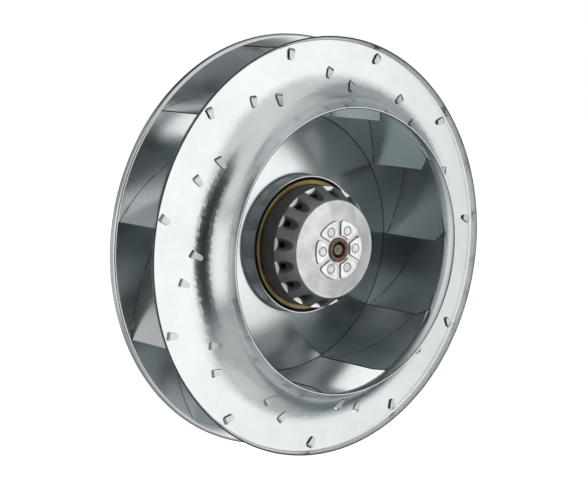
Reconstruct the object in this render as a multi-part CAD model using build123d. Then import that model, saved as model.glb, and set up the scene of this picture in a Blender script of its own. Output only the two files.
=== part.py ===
from build123d import *
import os
from math import acos, atan2, cos, degrees, hypot, radians, sin, sqrt, tan

# Plug fan: a backward-curved impeller of pressed galvanised sheet on an external-rotor motor.
# The fan's axis lies along Y and the inlet looks towards -Y, so the motor's mounting face is at Y = 0.
# Every piece is first drawn about the Z axis, with Z counted forwards from the mounting face,
# and is laid over at the end, so Z here becomes -Y there and Y becomes +Z.

# Impeller discs
impeller_radius = 200.0
disc_sheet = 1.5
outlet_width = 53.6
shroud_cone_angle = 5.7
shroud_lip = 7.2
shroud_lip_flare = 3.0
throat_radius = 133.7
throat_bend = 38.2
throat_collar = 0.3
back_lip = 7.0
rim_bend = 1.5
crease_inset = 5.0
dome_rise = 14.1
neck_length = 20.1
press_bend = 2.5

# Blades
blade_count = 11
blade_sheet = 1.2
leading_edge_inset = 1.5
trailing_edge_inset = 4.0
blade_wrap = 41.0
blade_camber_radius = 164.0
blade_first_angle = 135.96
blade_corner_height = 70.8
blade_corner_angle = 34.8
shroud_tab_shares = (0.373, 0.608, 0.925)
back_tab_shares = (0.116, 0.567, 0.912)
tab_root_width = 7.0
tab_tip_width = 4.0
tab_tip_round = 1.2
tab_shoulder = 2.4
tab_length = 9.6
slot_side_gap = 0.3
slot_open_gap = 1.3

# Rotor
rotor_radius = 64.4
rotor_length = 69.0
rotor_wall = 3.0
rotor_shoulder_bend = 1.0
rotor_lip = 6.4
neck_setback = 1.6
bell_mouth_gap = 0.1
bell_skirt = 18.8
bell_cone_height = 18.9
bell_cone_taper = 11.5
bell_face_rise = 5.3
bell_wall = 4.2
bell_boss_wall = 6.3
bell_edge_round = 1.2
cooling_slots = 16
cooling_slot_phase = 13.3
cooling_scoop_radius = 7.3
cooling_scoop_depth = 4.6
cooling_scoop_reach = 15.9
cooling_hole_radius = 2.4
pads = 6
pad_phase = 58.3
pad_inner_radius = 13.6
pad_outer_radius = 28.0
pad_half_angle = 22.5
pad_height = 1.0
pad_corner = 2.6
pad_inner_corner = 0.9
pad_dimple_radius = 4.1
pad_dimple_depth = 0.4
pad_dimple_circle = 20.0
bush_radius = 11.7
bush_bore = 7.5
bush_proud = 0.8
bush_length = 25.0
core_thickness = 5.0
core_length = 46.0
end_ring_length = 8.0

# Shaft and bearings
shaft_nose_radius = 5.2
shaft_nose_length = 3.2
shaft_nose_setback = 1.6
shaft_nose_chamfer = 0.8
shaft_tail = 3.4
bearing_radius = 17.5
bearing_width = 11.0
bearing_inner_ring = 3.0
rear_bearing_height = 14.0
circlip_thickness = 1.0
circlip_width = 2.2
circlip_mouth = 9.6
circlip_height = 1.8
circlip_groove = 0.7
spring_sheet = 0.8
spring_rise = 1.0
spring_width = 2.4

# Stator
flange_radius = 62.0
flange_thickness = 14.0
flange_rotor_gap = 2.0
flange_edge_round = 1.5
flange_collar_height = 4.0
flange_collar_wall = 2.5
mount_circle = 102.0
mount_holes = 4
mount_hole_radius = 3.4
mount_hole_depth = 12.0
tube_wall = 5.5
tube_shoulder = 2.0
cap_thickness = 2.5
cap_inset = 0.5
stator_slots = 24
stator_yoke = 14.0
stator_slot_width = 4.4
stator_mouth_depth = 1.6
stator_mouth_width = 2.4
insulation = 1.5
winding_overhang = 8.0
winding_inset = 5.0
winding_round = 2.6
grommet_radius = 4.5
grommet_bore = 3.0
grommet_head_radius = 6.5
grommet_head = 3.0
grommet_length = 15.0

# Clearances
seat_gap = 0.05
running_gap = 0.05
air_gap = 0.4
collar_gap = 0.5

# Radii that follow: the blades reach from just inside the throat to just inside the rim, and the
# bell stands in the rotor's mouth
blade_inner_radius = throat_radius - leading_edge_inset
blade_outer_radius = impeller_radius - trailing_edge_inset
crease_radius = blade_inner_radius - crease_inset
blade_turn = blade_first_angle - blade_wrap
rotor_mouth_radius = rotor_radius - rotor_lip
bell_base_radius = rotor_mouth_radius - bell_mouth_gap
bell_face_radius = bell_base_radius - bell_cone_taper
shaft_radius = bush_bore
tube_outer_radius = bearing_radius + tube_wall
core_outer_radius = rotor_radius - rotor_wall - seat_gap
core_inner_radius = core_outer_radius - core_thickness
stator_radius = core_inner_radius - air_gap
stator_bore = tube_outer_radius + seat_gap
winding_slot_root = stator_bore + stator_yoke

# Places along the axis, forwards from the mounting face
rotor_rear = flange_thickness + flange_rotor_gap
rotor_front = rotor_rear + rotor_length
neck_front = rotor_front - neck_setback
plate_front = neck_front - neck_length - dome_rise
plate_middle = plate_front - disc_sheet / 2
shroud_rim_rear = plate_front + outlet_width
shroud_rim_middle = shroud_rim_rear + disc_sheet / 2 / cos(radians(shroud_cone_angle))
bell_ledge = rotor_front + bell_skirt
bell_face_edge = bell_ledge + bell_cone_height
bell_face_front = bell_face_edge + bell_face_rise
core_front = rotor_front - rotor_wall - seat_gap - end_ring_length
core_rear = core_front - core_length
bell_pad_front = bell_face_front + pad_height
bush_front = bell_pad_front + bush_proud
shaft_front = bush_front - shaft_nose_setback
front_bearing_height = bell_ledge - bearing_width - 2 * seat_gap
tube_front = front_bearing_height + bearing_width - 2 * seat_gap
circlip_groove_rear = rear_bearing_height - circlip_height


def turned(corners):
    """A solid turned about the Z axis from a closed outline of (radius, height) corners."""
    return revolve(Plane.XZ * make_face(Polyline(*corners, close=True)), Axis.Z)


def ring(outer, inner, low, high):
    """A plain ring or, with no inner radius, a disc."""
    height = high - low
    body = Pos(0, 0, low) * Cylinder(outer, height, align=(Align.CENTER, Align.CENTER, Align.MIN))
    if inner:
        bore = Cylinder(inner, 3 * height, align=(Align.CENTER, Align.CENTER, Align.CENTER))
        body -= Pos(0, 0, low + height / 2) * bore
    return body


def rims_at(body, radius, height):
    """The circular edges of a body with a given radius at a given height."""
    return [
        edge
        for edge in body.edges().filter_by(GeomType.CIRCLE)
        if abs(edge.radius - radius) < seat_gap and abs(edge.center().Z - height) < seat_gap
    ]


def around(shape, count, phase=0.0):
    """Copies of a shape turned evenly about the Z axis."""
    return [Rot(0, 0, phase + 360 * number / count) * shape for number in range(count)]


def shifted(corners, distance):
    """The corners of a line of straight runs, moved sideways to the left of its direction."""
    normals = []
    for (x0, y0), (x1, y1) in zip(corners, corners[1:]):
        length = hypot(x1 - x0, y1 - y0)
        normals.append(((y0 - y1) / length, (x1 - x0) / length))
    moved = [(corners[0][0] + distance * normals[0][0], corners[0][1] + distance * normals[0][1])]
    for (x, y), (nx, ny), (mx, my) in zip(corners[1:], normals, normals[1:]):
        share = distance / (1 + nx * mx + ny * my)
        moved.append((x + share * (nx + mx), y + share * (ny + my)))
    moved.append((corners[-1][0] + distance * normals[-1][0], corners[-1][1] + distance * normals[-1][1]))
    return moved


def turns_left(corners):
    """For each inner corner, 1 where the line turns left and -1 where it turns right."""
    signs = []
    for (x0, y0), (x1, y1), (x2, y2) in zip(corners, corners[1:], corners[2:]):
        cross = (x1 - x0) * (y2 - y1) - (y1 - y0) * (x2 - x1)
        signs.append(1 if cross > 0 else -1)
    return signs


def pressed_sheet(corners, inner_bends, thickness):
    """Sheet metal turned about Z: a middle line with rounded bends, given half the sheet each way."""
    sides = []
    for side in (1, -1):
        radii = [
            bend if turn == side else bend + thickness
            for bend, turn in zip(inner_bends, turns_left(corners))
        ]
        sides.append(FilletPolyline(*shifted(corners, side * thickness / 2), radius=radii))
    left, right = sides
    ends = [Line(left @ 0, right @ 0), Line(left @ 1, right @ 1)]
    return revolve(Plane.XZ * make_face([left, right, *ends]), Axis.Z)


# The shroud's middle line: flared lip, cone and throat
shroud_rim_radius = impeller_radius - disc_sheet / 2
throat_middle_radius = throat_radius + disc_sheet / 2
shroud_reach = shroud_rim_radius - throat_middle_radius
cone_slope = tan(radians(shroud_cone_angle))
shroud_foot = shroud_rim_middle + shroud_reach * cone_slope
throat_bend_middle = throat_bend + disc_sheet / 2
throat_bend_height = shroud_foot + throat_bend_middle * tan(radians((90 - shroud_cone_angle) / 2))
throat_bend_radius = throat_middle_radius + throat_bend_middle
throat_front = throat_bend_height + throat_collar
shroud_line = [
    (shroud_rim_radius, shroud_rim_rear + shroud_lip),
    (shroud_rim_radius - shroud_lip_flare, shroud_rim_middle + shroud_lip_flare * cone_slope),
    (throat_middle_radius, shroud_foot),
    (throat_middle_radius, throat_front),
]

# The back plate's middle line: lip, flat, dome and neck
neck_radius = rotor_radius + seat_gap + disc_sheet / 2
back_line = [
    (shroud_rim_radius, plate_front - back_lip),
    (shroud_rim_radius, plate_middle),
    (crease_radius, plate_middle),
    (neck_radius, plate_middle + dome_rise),
    (neck_radius, neck_front),
]

# The blade's middle line is one arc from its leading to its trailing edge, bulging away from the axis
leading = Vector(blade_inner_radius, 0)
trailing = Vector(
    blade_outer_radius * cos(radians(blade_wrap)), blade_outer_radius * sin(radians(blade_wrap))
)
chord = (trailing - leading).length
chord_way = (trailing - leading) / chord
bulge_way = Vector(chord_way.Y, -chord_way.X)
camber_rise = blade_camber_radius - sqrt(blade_camber_radius**2 - (chord / 2) ** 2)
camber_top = (leading + trailing) / 2 + bulge_way * camber_rise
camber_centre = camber_top - bulge_way * blade_camber_radius


def camber_at(radius):
    """The place on the blade's arc at a radius from the fan's axis, and its way to the trailing edge."""
    reach = camber_centre.length
    opening = acos((reach**2 + blade_camber_radius**2 - radius**2) / (2 * reach * blade_camber_radius))
    start = atan2(-camber_centre.Y, -camber_centre.X)
    out = Vector(cos(start + opening), sin(start + opening))
    return camber_centre + out * blade_camber_radius, Vector(-out.Y, out.X)


def shroud_surface(radius):
    """Height and slope of the shroud's front face at a radius; the slope is its rise towards the axis."""
    cone = radians(shroud_cone_angle)
    if radius > throat_bend_radius + throat_bend * sin(cone):
        rise = (throat_bend_radius + throat_bend * sin(cone) - radius) * tan(cone)
        return throat_bend_height - throat_bend * cos(cone) + rise, tan(cone)
    inward = throat_bend_radius - radius
    drop = sqrt(throat_bend**2 - inward**2)
    return throat_bend_height - drop, inward / drop


def tab_radii(shares):
    """Radii of the tabs' middles, given as shares of the blade's reach from its leading edge outwards."""
    return [blade_inner_radius + share * (blade_outer_radius - blade_inner_radius) for share in shares]


def slot_cutter(radius, low, high):
    """The slot that one tab passes through, open on the side away from the fold."""
    place, way = camber_at(radius)
    width = blade_sheet + slot_side_gap + slot_open_gap
    length = tab_root_width + 2 * slot_side_gap
    block = Box(length, width, high - low, align=(Align.CENTER, Align.CENTER, Align.MIN))
    offset = (slot_open_gap - slot_side_gap) / 2
    turn = degrees(atan2(way.Y, way.X))
    return Location((place.X, place.Y, low), (0, 0, turn)) * Pos(0, -offset, 0) * block


def folded_tab(radius, root, height, rise, bow, up):
    """One tab: a stem through its slot and a tongue folded towards the axis, flat on the disc.

    root is the height where the stem leaves the blade, height and rise are the disc face's height and
    slope under the tongue, bow lifts the tongue off a hollow face, and up is 1 on the shroud and -1 on
    the back plate."""
    place, way = camber_at(radius)
    inward = Vector(-way.Y, way.X)
    radial = Vector(place.X, place.Y).normalized()
    along = -rise * way.dot(radial)
    across = -rise * inward.dot(radial)
    tilt = way * along + inward * across
    normal = Vector(-tilt.X, -tilt.Y, 1).normalized() * up
    x_way = Vector(way.X, way.Y, along).normalized()
    base = Vector(place.X, place.Y, height) + normal * (bow + seat_gap)
    flat = Plane(origin=base, x_dir=x_way, z_dir=normal)
    half_root, half_tip = tab_root_width / 2, tab_tip_width / 2
    root_edge = -up * blade_sheet / 2
    shoulder = root_edge + up * tab_shoulder
    tip = root_edge + up * tab_length
    outline = [
        (-half_root, root_edge),
        (half_root, root_edge),
        (half_root, shoulder),
        (half_tip, tip),
        (-half_tip, tip),
        (-half_root, shoulder),
    ]
    shape = make_face(Polyline(*outline, close=True))
    tips = shape.vertices().sort_by(Axis.Y)[-2:] if up > 0 else shape.vertices().sort_by(Axis.Y)[:2]
    tongue = extrude(flat * fillet(tips, tab_tip_round), blade_sheet)
    reach = abs(height - root) + tab_length
    stem_box = Box(tab_root_width, blade_sheet, reach, align=(Align.CENTER, Align.CENTER, Align.MIN))
    turn = degrees(atan2(way.Y, way.X))
    stem = Location((place.X, place.Y, root), (0, 0, turn)) * Rot(0 if up > 0 else 180, 0, 0) * stem_box
    lid = Plane(origin=base + normal * blade_sheet, x_dir=x_way, z_dir=normal)
    above = extrude(lid * Rectangle(6 * tab_length, 6 * tab_length), 3 * tab_length)
    return (stem - above) + tongue


def make_shroud():
    disc = pressed_sheet(shroud_line, [rim_bend, throat_bend], disc_sheet)
    cutters = []
    for radius in tab_radii(shroud_tab_shares):
        height, slope = shroud_surface(radius)
        reach = tab_root_width * slope + 4 * disc_sheet
        cutters += around(slot_cutter(radius, height - reach, height + reach), blade_count, blade_turn)
    return disc - cutters


def make_back_plate():
    disc = pressed_sheet(back_line, [rim_bend, press_bend, press_bend], disc_sheet)
    low, high = plate_front - 2 * disc_sheet, plate_front + disc_sheet
    cutters = []
    for radius in tab_radii(back_tab_shares):
        cutters += around(slot_cutter(radius, low, high), blade_count, blade_turn)
    return disc - cutters


def make_blade():
    """The first blade, with its leading edge on the X axis before it is turned to its place."""
    half = blade_sheet / 2
    start = Vector(leading.X, leading.Y) - camber_centre
    begin = degrees(atan2(start.Y, start.X))
    sweep = 2 * degrees(acos(1 - camber_rise / blade_camber_radius))
    centre = (camber_centre.X, camber_centre.Y)
    outer = CenterArc(centre, blade_camber_radius + half, begin, sweep)
    inner = CenterArc(centre, blade_camber_radius - half, begin, sweep)
    strip = make_face([outer, inner, Line(outer @ 0, inner @ 0), Line(outer @ 1, inner @ 1)])
    low = plate_front + seat_gap
    sheet = extrude(Pos(0, 0, low) * strip, throat_front - low)
    under = shifted(shroud_line, disc_sheet / 2 + seat_gap)
    bends = [rim_bend + disc_sheet + seat_gap, throat_bend + disc_sheet + seat_gap]
    line = FilletPolyline(*under, radius=bends)
    top = throat_front + shroud_lip
    far = 2 * impeller_radius
    lid = Polyline(line @ 1, (throat_radius - seat_gap, top), (far, top), (far, under[0][1]), line @ 0)
    sheet -= revolve(Plane.XZ * make_face([line, lid]), Axis.Z)
    corner = plate_front + blade_corner_height
    slope = tan(radians(blade_corner_angle))
    upright = Plane(origin=(leading.X, leading.Y, corner), x_dir=chord_way, z_dir=bulge_way)
    ahead, behind = chord / 4, chord / 8
    wedge = [(-behind, -behind * slope), (ahead, ahead * slope), (ahead, chord), (-behind, chord)]
    sheet -= extrude(upright * make_face(Polyline(*wedge, close=True)), amount=chord / 4, both=True)
    for radius in tab_radii(shroud_tab_shares):
        place, way = camber_at(radius)
        radial = Vector(place.X, place.Y).normalized()
        middle = radius + (tab_length / 2) * Vector(-way.Y, way.X).dot(radial)
        height, slope = shroud_surface(middle)
        height -= slope * (radius - middle)
        hollow = middle < throat_bend_radius + throat_bend * sin(radians(shroud_cone_angle))
        bow = tab_length**2 / (8 * throat_bend) + 2 * seat_gap if hollow else 0
        root = shroud_surface(radius)[0] - disc_sheet - tab_root_width / 2
        sheet += folded_tab(radius, root, height, slope, bow, 1)
    for radius in tab_radii(back_tab_shares):
        sheet += folded_tab(radius, plate_front + disc_sheet, plate_front - disc_sheet, 0, 0, -1)
    return sheet


def make_rotor_shell():
    middle = rotor_radius - rotor_wall / 2
    front = rotor_front - rotor_wall / 2
    line = [(middle, rotor_rear), (middle, front), (rotor_mouth_radius, front)]
    return pressed_sheet(line, [rotor_shoulder_bend], rotor_wall)


def make_rotor_core():
    return ring(core_outer_radius, core_inner_radius, core_rear, core_front)


def make_rotor_end_ring():
    return ring(core_outer_radius, core_inner_radius, core_rear - end_ring_length, core_rear)


def bell_pad():
    """One raised pad of the bell's face, between two arcs, with rounded corners and a dimple."""
    outer_arc = CenterArc((0, 0), pad_outer_radius, -pad_half_angle, 2 * pad_half_angle)
    inner_arc = CenterArc((0, 0), pad_inner_radius, -pad_half_angle, 2 * pad_half_angle)
    sides = [Line(outer_arc @ 0, inner_arc @ 0), Line(outer_arc @ 1, inner_arc @ 1)]
    face = make_face([outer_arc, inner_arc, *sides])
    face = fillet(face.vertices().sort_by(Axis.X)[-2:], pad_corner)
    face = fillet(face.vertices().sort_by(Axis.X)[:2], pad_inner_corner)
    root = bell_face_front - bell_wall / 2
    body = extrude(Pos(0, 0, root) * face, bell_pad_front - root)
    dimple = Cylinder(pad_dimple_radius, 2 * pad_dimple_depth)
    return body - Pos(pad_dimple_circle, 0, bell_pad_front) * dimple


def cooling_slot():
    """One scoop in the bell's flank, deeper to the rear, with a hole through to the inside."""
    lean = bell_cone_taper / bell_cone_height
    floor_front = (bell_base_radius - lean * cooling_scoop_reach, bell_ledge + cooling_scoop_reach)
    floor_rear = (bell_base_radius - cooling_scoop_depth, bell_ledge)
    angle = atan2(floor_rear[0] - floor_front[0], floor_front[1] - floor_rear[1])
    radius = cooling_scoop_radius
    start = Vector(floor_rear[0] + radius * cos(angle), 0, floor_rear[1] + radius * sin(angle))
    way = Vector(-sin(angle), 0, cos(angle))
    length = 2 * cooling_scoop_reach
    scoop = extrude(Plane(origin=start - way * radius, z_dir=way) * Circle(radius), length)
    scoop -= ring(2 * bell_base_radius, 0, bell_ledge - length, bell_ledge)
    hole_height = bell_ledge + cooling_hole_radius + seat_gap
    hole = Plane(origin=(0, 0, hole_height), z_dir=(1, 0, 0)) * Circle(cooling_hole_radius)
    return scoop + extrude(hole, bell_base_radius)


def make_rotor_bell():
    """The die-cast bell: skirt, slotted cone, domed face with six pads, and the hub boss inside."""
    lip_rear = rotor_front - rotor_wall - seat_gap
    boss_radius = bush_radius + bell_boss_wall
    boss_rear = bell_ledge + 3 * seat_gap
    inner = bell_base_radius - bell_wall
    outline = [
        (core_outer_radius, core_front),
        (core_outer_radius, lip_rear - rotor_shoulder_bend),
        (core_outer_radius - rotor_shoulder_bend, lip_rear),
        (bell_base_radius, lip_rear),
        (bell_base_radius, bell_ledge),
        (bell_face_radius, bell_face_edge),
        (pad_outer_radius, bell_face_front),
        (bush_radius, bell_face_front),
        (bush_radius, boss_rear),
        (boss_radius, boss_rear),
        (boss_radius, bell_face_edge - bell_wall),
        (bell_face_radius - bell_wall, bell_face_edge - bell_wall),
        (inner, bell_ledge - bell_wall / 2),
        (inner, lip_rear),
        (core_inner_radius, core_front),
    ]
    body = turned(outline)
    body = fillet(rims_at(body, bell_face_radius, bell_face_edge), bell_edge_round)
    slot = cooling_slot() - ring(boss_radius + seat_gap, 0, 0, 2 * bell_face_front)
    body -= around(slot, cooling_slots, cooling_slot_phase)
    for pad in around(bell_pad(), pads, pad_phase):
        body += pad
    return body


def make_hub_bush():
    return ring(bush_radius - seat_gap, bush_bore + seat_gap, bush_front - bush_length, bush_front)


def make_shaft():
    """The shaft, stepped down at its front end and grooved for the circlip behind the rear bearing."""
    shoulder = shaft_front - shaft_nose_length
    tail = circlip_groove_rear - shaft_tail
    body = ring(shaft_radius, 0, tail, shoulder) + ring(shaft_nose_radius, 0, shoulder, shaft_front)
    body = chamfer(rims_at(body, shaft_nose_radius, shaft_front), shaft_nose_chamfer)
    groove_front = circlip_groove_rear + circlip_thickness + 2 * seat_gap
    return body - ring(2 * shaft_radius, shaft_radius - circlip_groove, circlip_groove_rear, groove_front)


def make_circlip():
    """An open retaining ring in the shaft's groove."""
    low = circlip_groove_rear + seat_gap
    inner = shaft_radius - circlip_groove + seat_gap
    outer = inner + circlip_width
    body = ring(outer, inner, low, low + circlip_thickness)
    mouth_box = (2 * outer, circlip_mouth, 4 * circlip_thickness)
    return body - Pos(0, 0, low) * Box(*mouth_box, align=(Align.MIN, Align.CENTER, Align.CENTER))


def bearing(low, inner_ring):
    """A shielded ball bearing: its inner ring, or its outer ring with the shields that hide the balls."""
    middle = shaft_radius + bearing_inner_ring
    if inner_ring:
        return ring(middle, shaft_radius + seat_gap, low, low + bearing_width)
    return ring(bearing_radius - seat_gap, middle + running_gap, low, low + bearing_width)


def make_preload_spring():
    """A coned disc spring between the tube's shoulder and the front bearing's outer ring."""
    outer = bearing_radius - 4 * seat_gap
    inner = outer - spring_width
    high = front_bearing_height - seat_gap
    low = high - spring_rise - spring_sheet
    return turned([(outer, low), (outer, low + spring_sheet), (inner, high), (inner, high - spring_sheet)])


def make_flange():
    """The mounting flange and bearing tube in one casting."""
    body = ring(flange_radius, 0, 0, flange_thickness)
    body = fillet(body.edges().filter_by(GeomType.CIRCLE), flange_edge_round)
    body += ring(tube_outer_radius, 0, flange_thickness / 2, tube_front)
    collar = rotor_radius - rotor_wall - collar_gap
    collar_front = flange_thickness + flange_collar_height
    body += ring(collar, collar - flange_collar_wall, flange_thickness / 2, collar_front)
    through = bearing_radius - tube_shoulder
    spring_room = spring_rise + spring_sheet + 2 * seat_gap
    body -= ring(bearing_radius, 0, -1, rear_bearing_height + bearing_width + seat_gap)
    body -= ring(through, 0, 0, tube_front + 1)
    body -= ring(bearing_radius, 0, front_bearing_height - spring_room, tube_front + 1)
    hole = Pos(mount_circle / 2, 0, 0) * ring(mount_hole_radius, 0, -1, mount_hole_depth)
    body -= around(hole, mount_holes, 180 / mount_holes)
    body -= grommet_hole()
    return body


def grommet_hole():
    """The round hole for the cable grommet, in from the bottom of the flange's rim."""
    start = flange_radius + grommet_head
    centre = Plane(origin=(0, -start, flange_thickness / 2), z_dir=(0, 1, 0))
    return extrude(centre * Circle(grommet_radius + seat_gap), grommet_head + grommet_length)


def make_cable_grommet():
    start = flange_radius + grommet_head
    centre = Plane(origin=(0, -start, flange_thickness / 2), z_dir=(0, 1, 0))
    head = extrude(centre * Circle(grommet_head_radius), grommet_head - seat_gap)
    body = extrude(centre * Circle(grommet_radius), grommet_head + grommet_length - seat_gap)
    bore = extrude(centre * Circle(grommet_bore), grommet_head + grommet_length)
    return head + body - bore


def make_bearing_cap():
    return ring(bearing_radius - seat_gap, 0, cap_inset, cap_inset + cap_thickness)


def stator_slot(inset, low, high):
    """One winding slot of the core, or with an inset the copper that fills it."""
    root = winding_slot_root + inset
    length = stator_radius - stator_mouth_depth - inset - root
    width = stator_slot_width - 2 * inset
    return Pos(root, 0, low) * Box(length, width, high - low, align=(Align.MIN, Align.CENTER, Align.MIN))


def make_stator_core():
    body = ring(stator_radius, stator_bore, core_rear, core_front)
    low, high = core_rear - stator_mouth_depth, core_front + stator_mouth_depth
    mouth_box = (2 * stator_mouth_depth, stator_mouth_width, high - low)
    mouth = Box(*mouth_box, align=(Align.CENTER, Align.CENTER, Align.MIN))
    slot = stator_slot(0, low, high) + Pos(stator_radius, 0, low) * mouth
    return body - around(slot, stator_slots)


def make_windings():
    """Copper in the slots, joined by the end turns at both ends."""
    low = core_rear - insulation - winding_overhang
    high = core_front + insulation + winding_overhang
    outer = stator_radius - winding_inset
    inner = winding_slot_root + seat_gap
    body = ring(outer, inner, low, core_rear - insulation - seat_gap)
    body += ring(outer, inner, core_front + insulation + seat_gap, high)
    for height in (low, high):
        body = fillet(rims_at(body, outer, height) + rims_at(body, inner, height), winding_round)
    bar = stator_slot(3 * seat_gap, low + winding_overhang / 2, high - winding_overhang / 2)
    return body + around(bar, stator_slots)


def make_insulation(low):
    """The plastic end plate between the core and the end turns, notched over each slot."""
    high = low + insulation
    body = ring(stator_radius - stator_mouth_depth, stator_bore, low + seat_gap / 2, high - seat_gap / 2)
    return body - around(stator_slot(0, low - insulation, high + insulation), stator_slots)


def main():
    os.makedirs("parts", exist_ok=True)
    blade = make_blade()
    rotor = {
        "back_plate": make_back_plate(),
        "shroud": make_shroud(),
        "rotor_shell": make_rotor_shell(),
        "rotor_bell": make_rotor_bell(),
        "rotor_core": make_rotor_core(),
        "rotor_end_ring": make_rotor_end_ring(),
        "hub_bush": make_hub_bush(),
        "shaft": make_shaft(),
        "shaft_circlip": make_circlip(),
        "front_bearing_inner": bearing(front_bearing_height, True),
        "rear_bearing_inner": bearing(rear_bearing_height, True),
    }
    for number, turned_blade in enumerate(around(blade, blade_count, blade_turn)):
        rotor[f"blade_{number + 1:02d}"] = turned_blade
    stator = {
        "motor_flange": make_flange(),
        "bearing_cap": make_bearing_cap(),
        "front_bearing_outer": bearing(front_bearing_height, False),
        "rear_bearing_outer": bearing(rear_bearing_height, False),
        "preload_spring": make_preload_spring(),
        "stator_core": make_stator_core(),
        "stator_windings": make_windings(),
        "front_insulation": make_insulation(core_front),
        "rear_insulation": make_insulation(core_rear - insulation),
        "cable_grommet": make_cable_grommet(),
    }
    for name, shape in {**rotor, **stator}.items():
        export_step(Rot(90, 0, 0) * shape, f"parts/{name}.step")


main()
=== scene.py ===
"""The dressed model of a plug fan: a backward-curved wheel of galvanised sheet on an external-rotor
motor.

Lengths are metres. The fan's axis is the Y axis, the inlet looks towards -Y and the motor's
mounting face is at Y = 0. A place on the fan is often given as a radius from the axis, an angle
from +X towards +Z, and a height, which is counted forwards from the mounting face: it is -Y.
"""

import math

import bmesh
import bpy
import numpy as np
from bpy.props import FloatProperty, FloatVectorProperty, IntProperty, PointerProperty
from mathutils import Matrix, Vector


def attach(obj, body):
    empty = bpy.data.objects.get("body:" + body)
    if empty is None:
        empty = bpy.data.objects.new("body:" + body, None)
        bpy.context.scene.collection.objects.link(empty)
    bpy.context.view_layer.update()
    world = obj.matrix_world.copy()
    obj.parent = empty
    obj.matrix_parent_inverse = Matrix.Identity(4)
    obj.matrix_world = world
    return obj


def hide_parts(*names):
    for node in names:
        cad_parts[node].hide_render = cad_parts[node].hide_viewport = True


bl_info = {
    "name": "Plug fan",
    "version": (1, 0, 0),
    "blender": (4, 5, 0),
    "location": "View3D > Sidebar > Plug fan",
    "description": "Builds the dressed plug fan piece by piece around its packed frame",
    "category": "Add Mesh",
}

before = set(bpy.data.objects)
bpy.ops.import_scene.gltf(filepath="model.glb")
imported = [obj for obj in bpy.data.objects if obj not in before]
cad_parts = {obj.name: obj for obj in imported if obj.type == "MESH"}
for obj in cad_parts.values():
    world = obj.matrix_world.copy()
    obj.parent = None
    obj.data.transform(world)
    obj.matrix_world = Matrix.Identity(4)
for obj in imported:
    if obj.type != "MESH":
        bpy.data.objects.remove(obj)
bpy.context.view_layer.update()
ROTOR, STATOR = "impeller", "stator"
MILLIMETRE = 0.001
MICROMETRE = 0.000001
# Longest straight part of a turned outline, and how far a sheared end stands past its middle line.
LONGEST_RUN = 4 * MILLIMETRE
SHEAR = 0.15 * MILLIMETRE
# Steps round each turned piece, and the angles in degrees from which pieces have sharp edges.
COLUMNS = {
    "rotor shell": 360,
    "bush": 128,
    "shaft": 96,
    "flange": 256,
    "threaded hole": 40,
    "cable hole": 64,
    "cap": 96,
    "grommet": 72,
}
SHARP = {"blade": 40, "bell": 38, "flange": 32, "thread": 30}
# Share of the shroud lip's flare by which the lip's end stays inside the rim.
LIP_INSET = 0.1
TINY = 1e-12


def length(label, about, millimetres):
    """A length property whose default is given in millimetres."""
    default = millimetres * MILLIMETRE
    return FloatProperty(name=label, description=about, default=default, unit="LENGTH", precision=4)


def turn(label, about, degrees):
    """An angle property whose default is given in degrees."""
    default = math.radians(degrees)
    return FloatProperty(name=label, description=about, default=default, subtype="ANGLE")


def whole(label, about, default, least):
    """A whole number with a least value."""
    return IntProperty(name=label, description=about, default=default, min=least)


def triple(label, about, value, kind, **limits):
    """A property of three numbers."""
    return FloatVectorProperty(
        name=label, description=about, default=value, subtype=kind, size=3, **limits
    )


def colour(label, about, value):
    """A colour property."""
    return triple(label, about, value, "COLOR", min=0, max=1)

class FanDiscSizes(bpy.types.PropertyGroup):
    rim_radius: length("Rim radius", "Outside radius of both discs", 200.0)
    sheet: length("Disc sheet", "Thickness of both discs", 1.5)
    plate_front: length("Plate height", "Height of the back plate's flat front face", 49.2)
    outlet_width: length("Outlet width", "From the back plate to the shroud at the rim", 53.6)
    cone_angle: turn("Shroud cone", "Slope of the shroud's outer cone", 5.7)
    shroud_lip: length("Shroud lip", "Height of the shroud's rim lip with its sheet", 7.2)
    lip_flare: length("Lip flare", "How far the shroud's lip leans outwards", 2.7)
    back_lip: length("Back lip", "Height of the back plate's rim lip with its sheet", 7.0)
    rim_bend: length("Rim bend", "Inside radius of both lips' bends", 1.5)
    throat_radius: length("Throat radius", "Inside radius of the inlet throat", 133.7)
    throat_bend: length("Throat bend", "Radius of the shroud's hollow side", 38.2)
    throat_collar: length("Throat collar", "Straight end of the throat", 0.3)
    crease_radius: length("Crease radius", "Where the back plate's dome starts", 127.2)
    crease_bend: length("Crease bend", "Inside radius of the crease's bend", 0.3)
    dome_rise: length("Dome rise", "Height of the dome at the neck", 14.1)
    neck_length: length("Neck length", "From the dome to the neck's edge", 20.1)
    neck_inner: length("Neck inside", "Inside radius of the neck", 64.45)
    press_bend: length("Press bend", "Inside radius of the plate's other bends", 2.5)
    columns: whole("Columns", "Steps round each disc", 440, 64)


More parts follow.
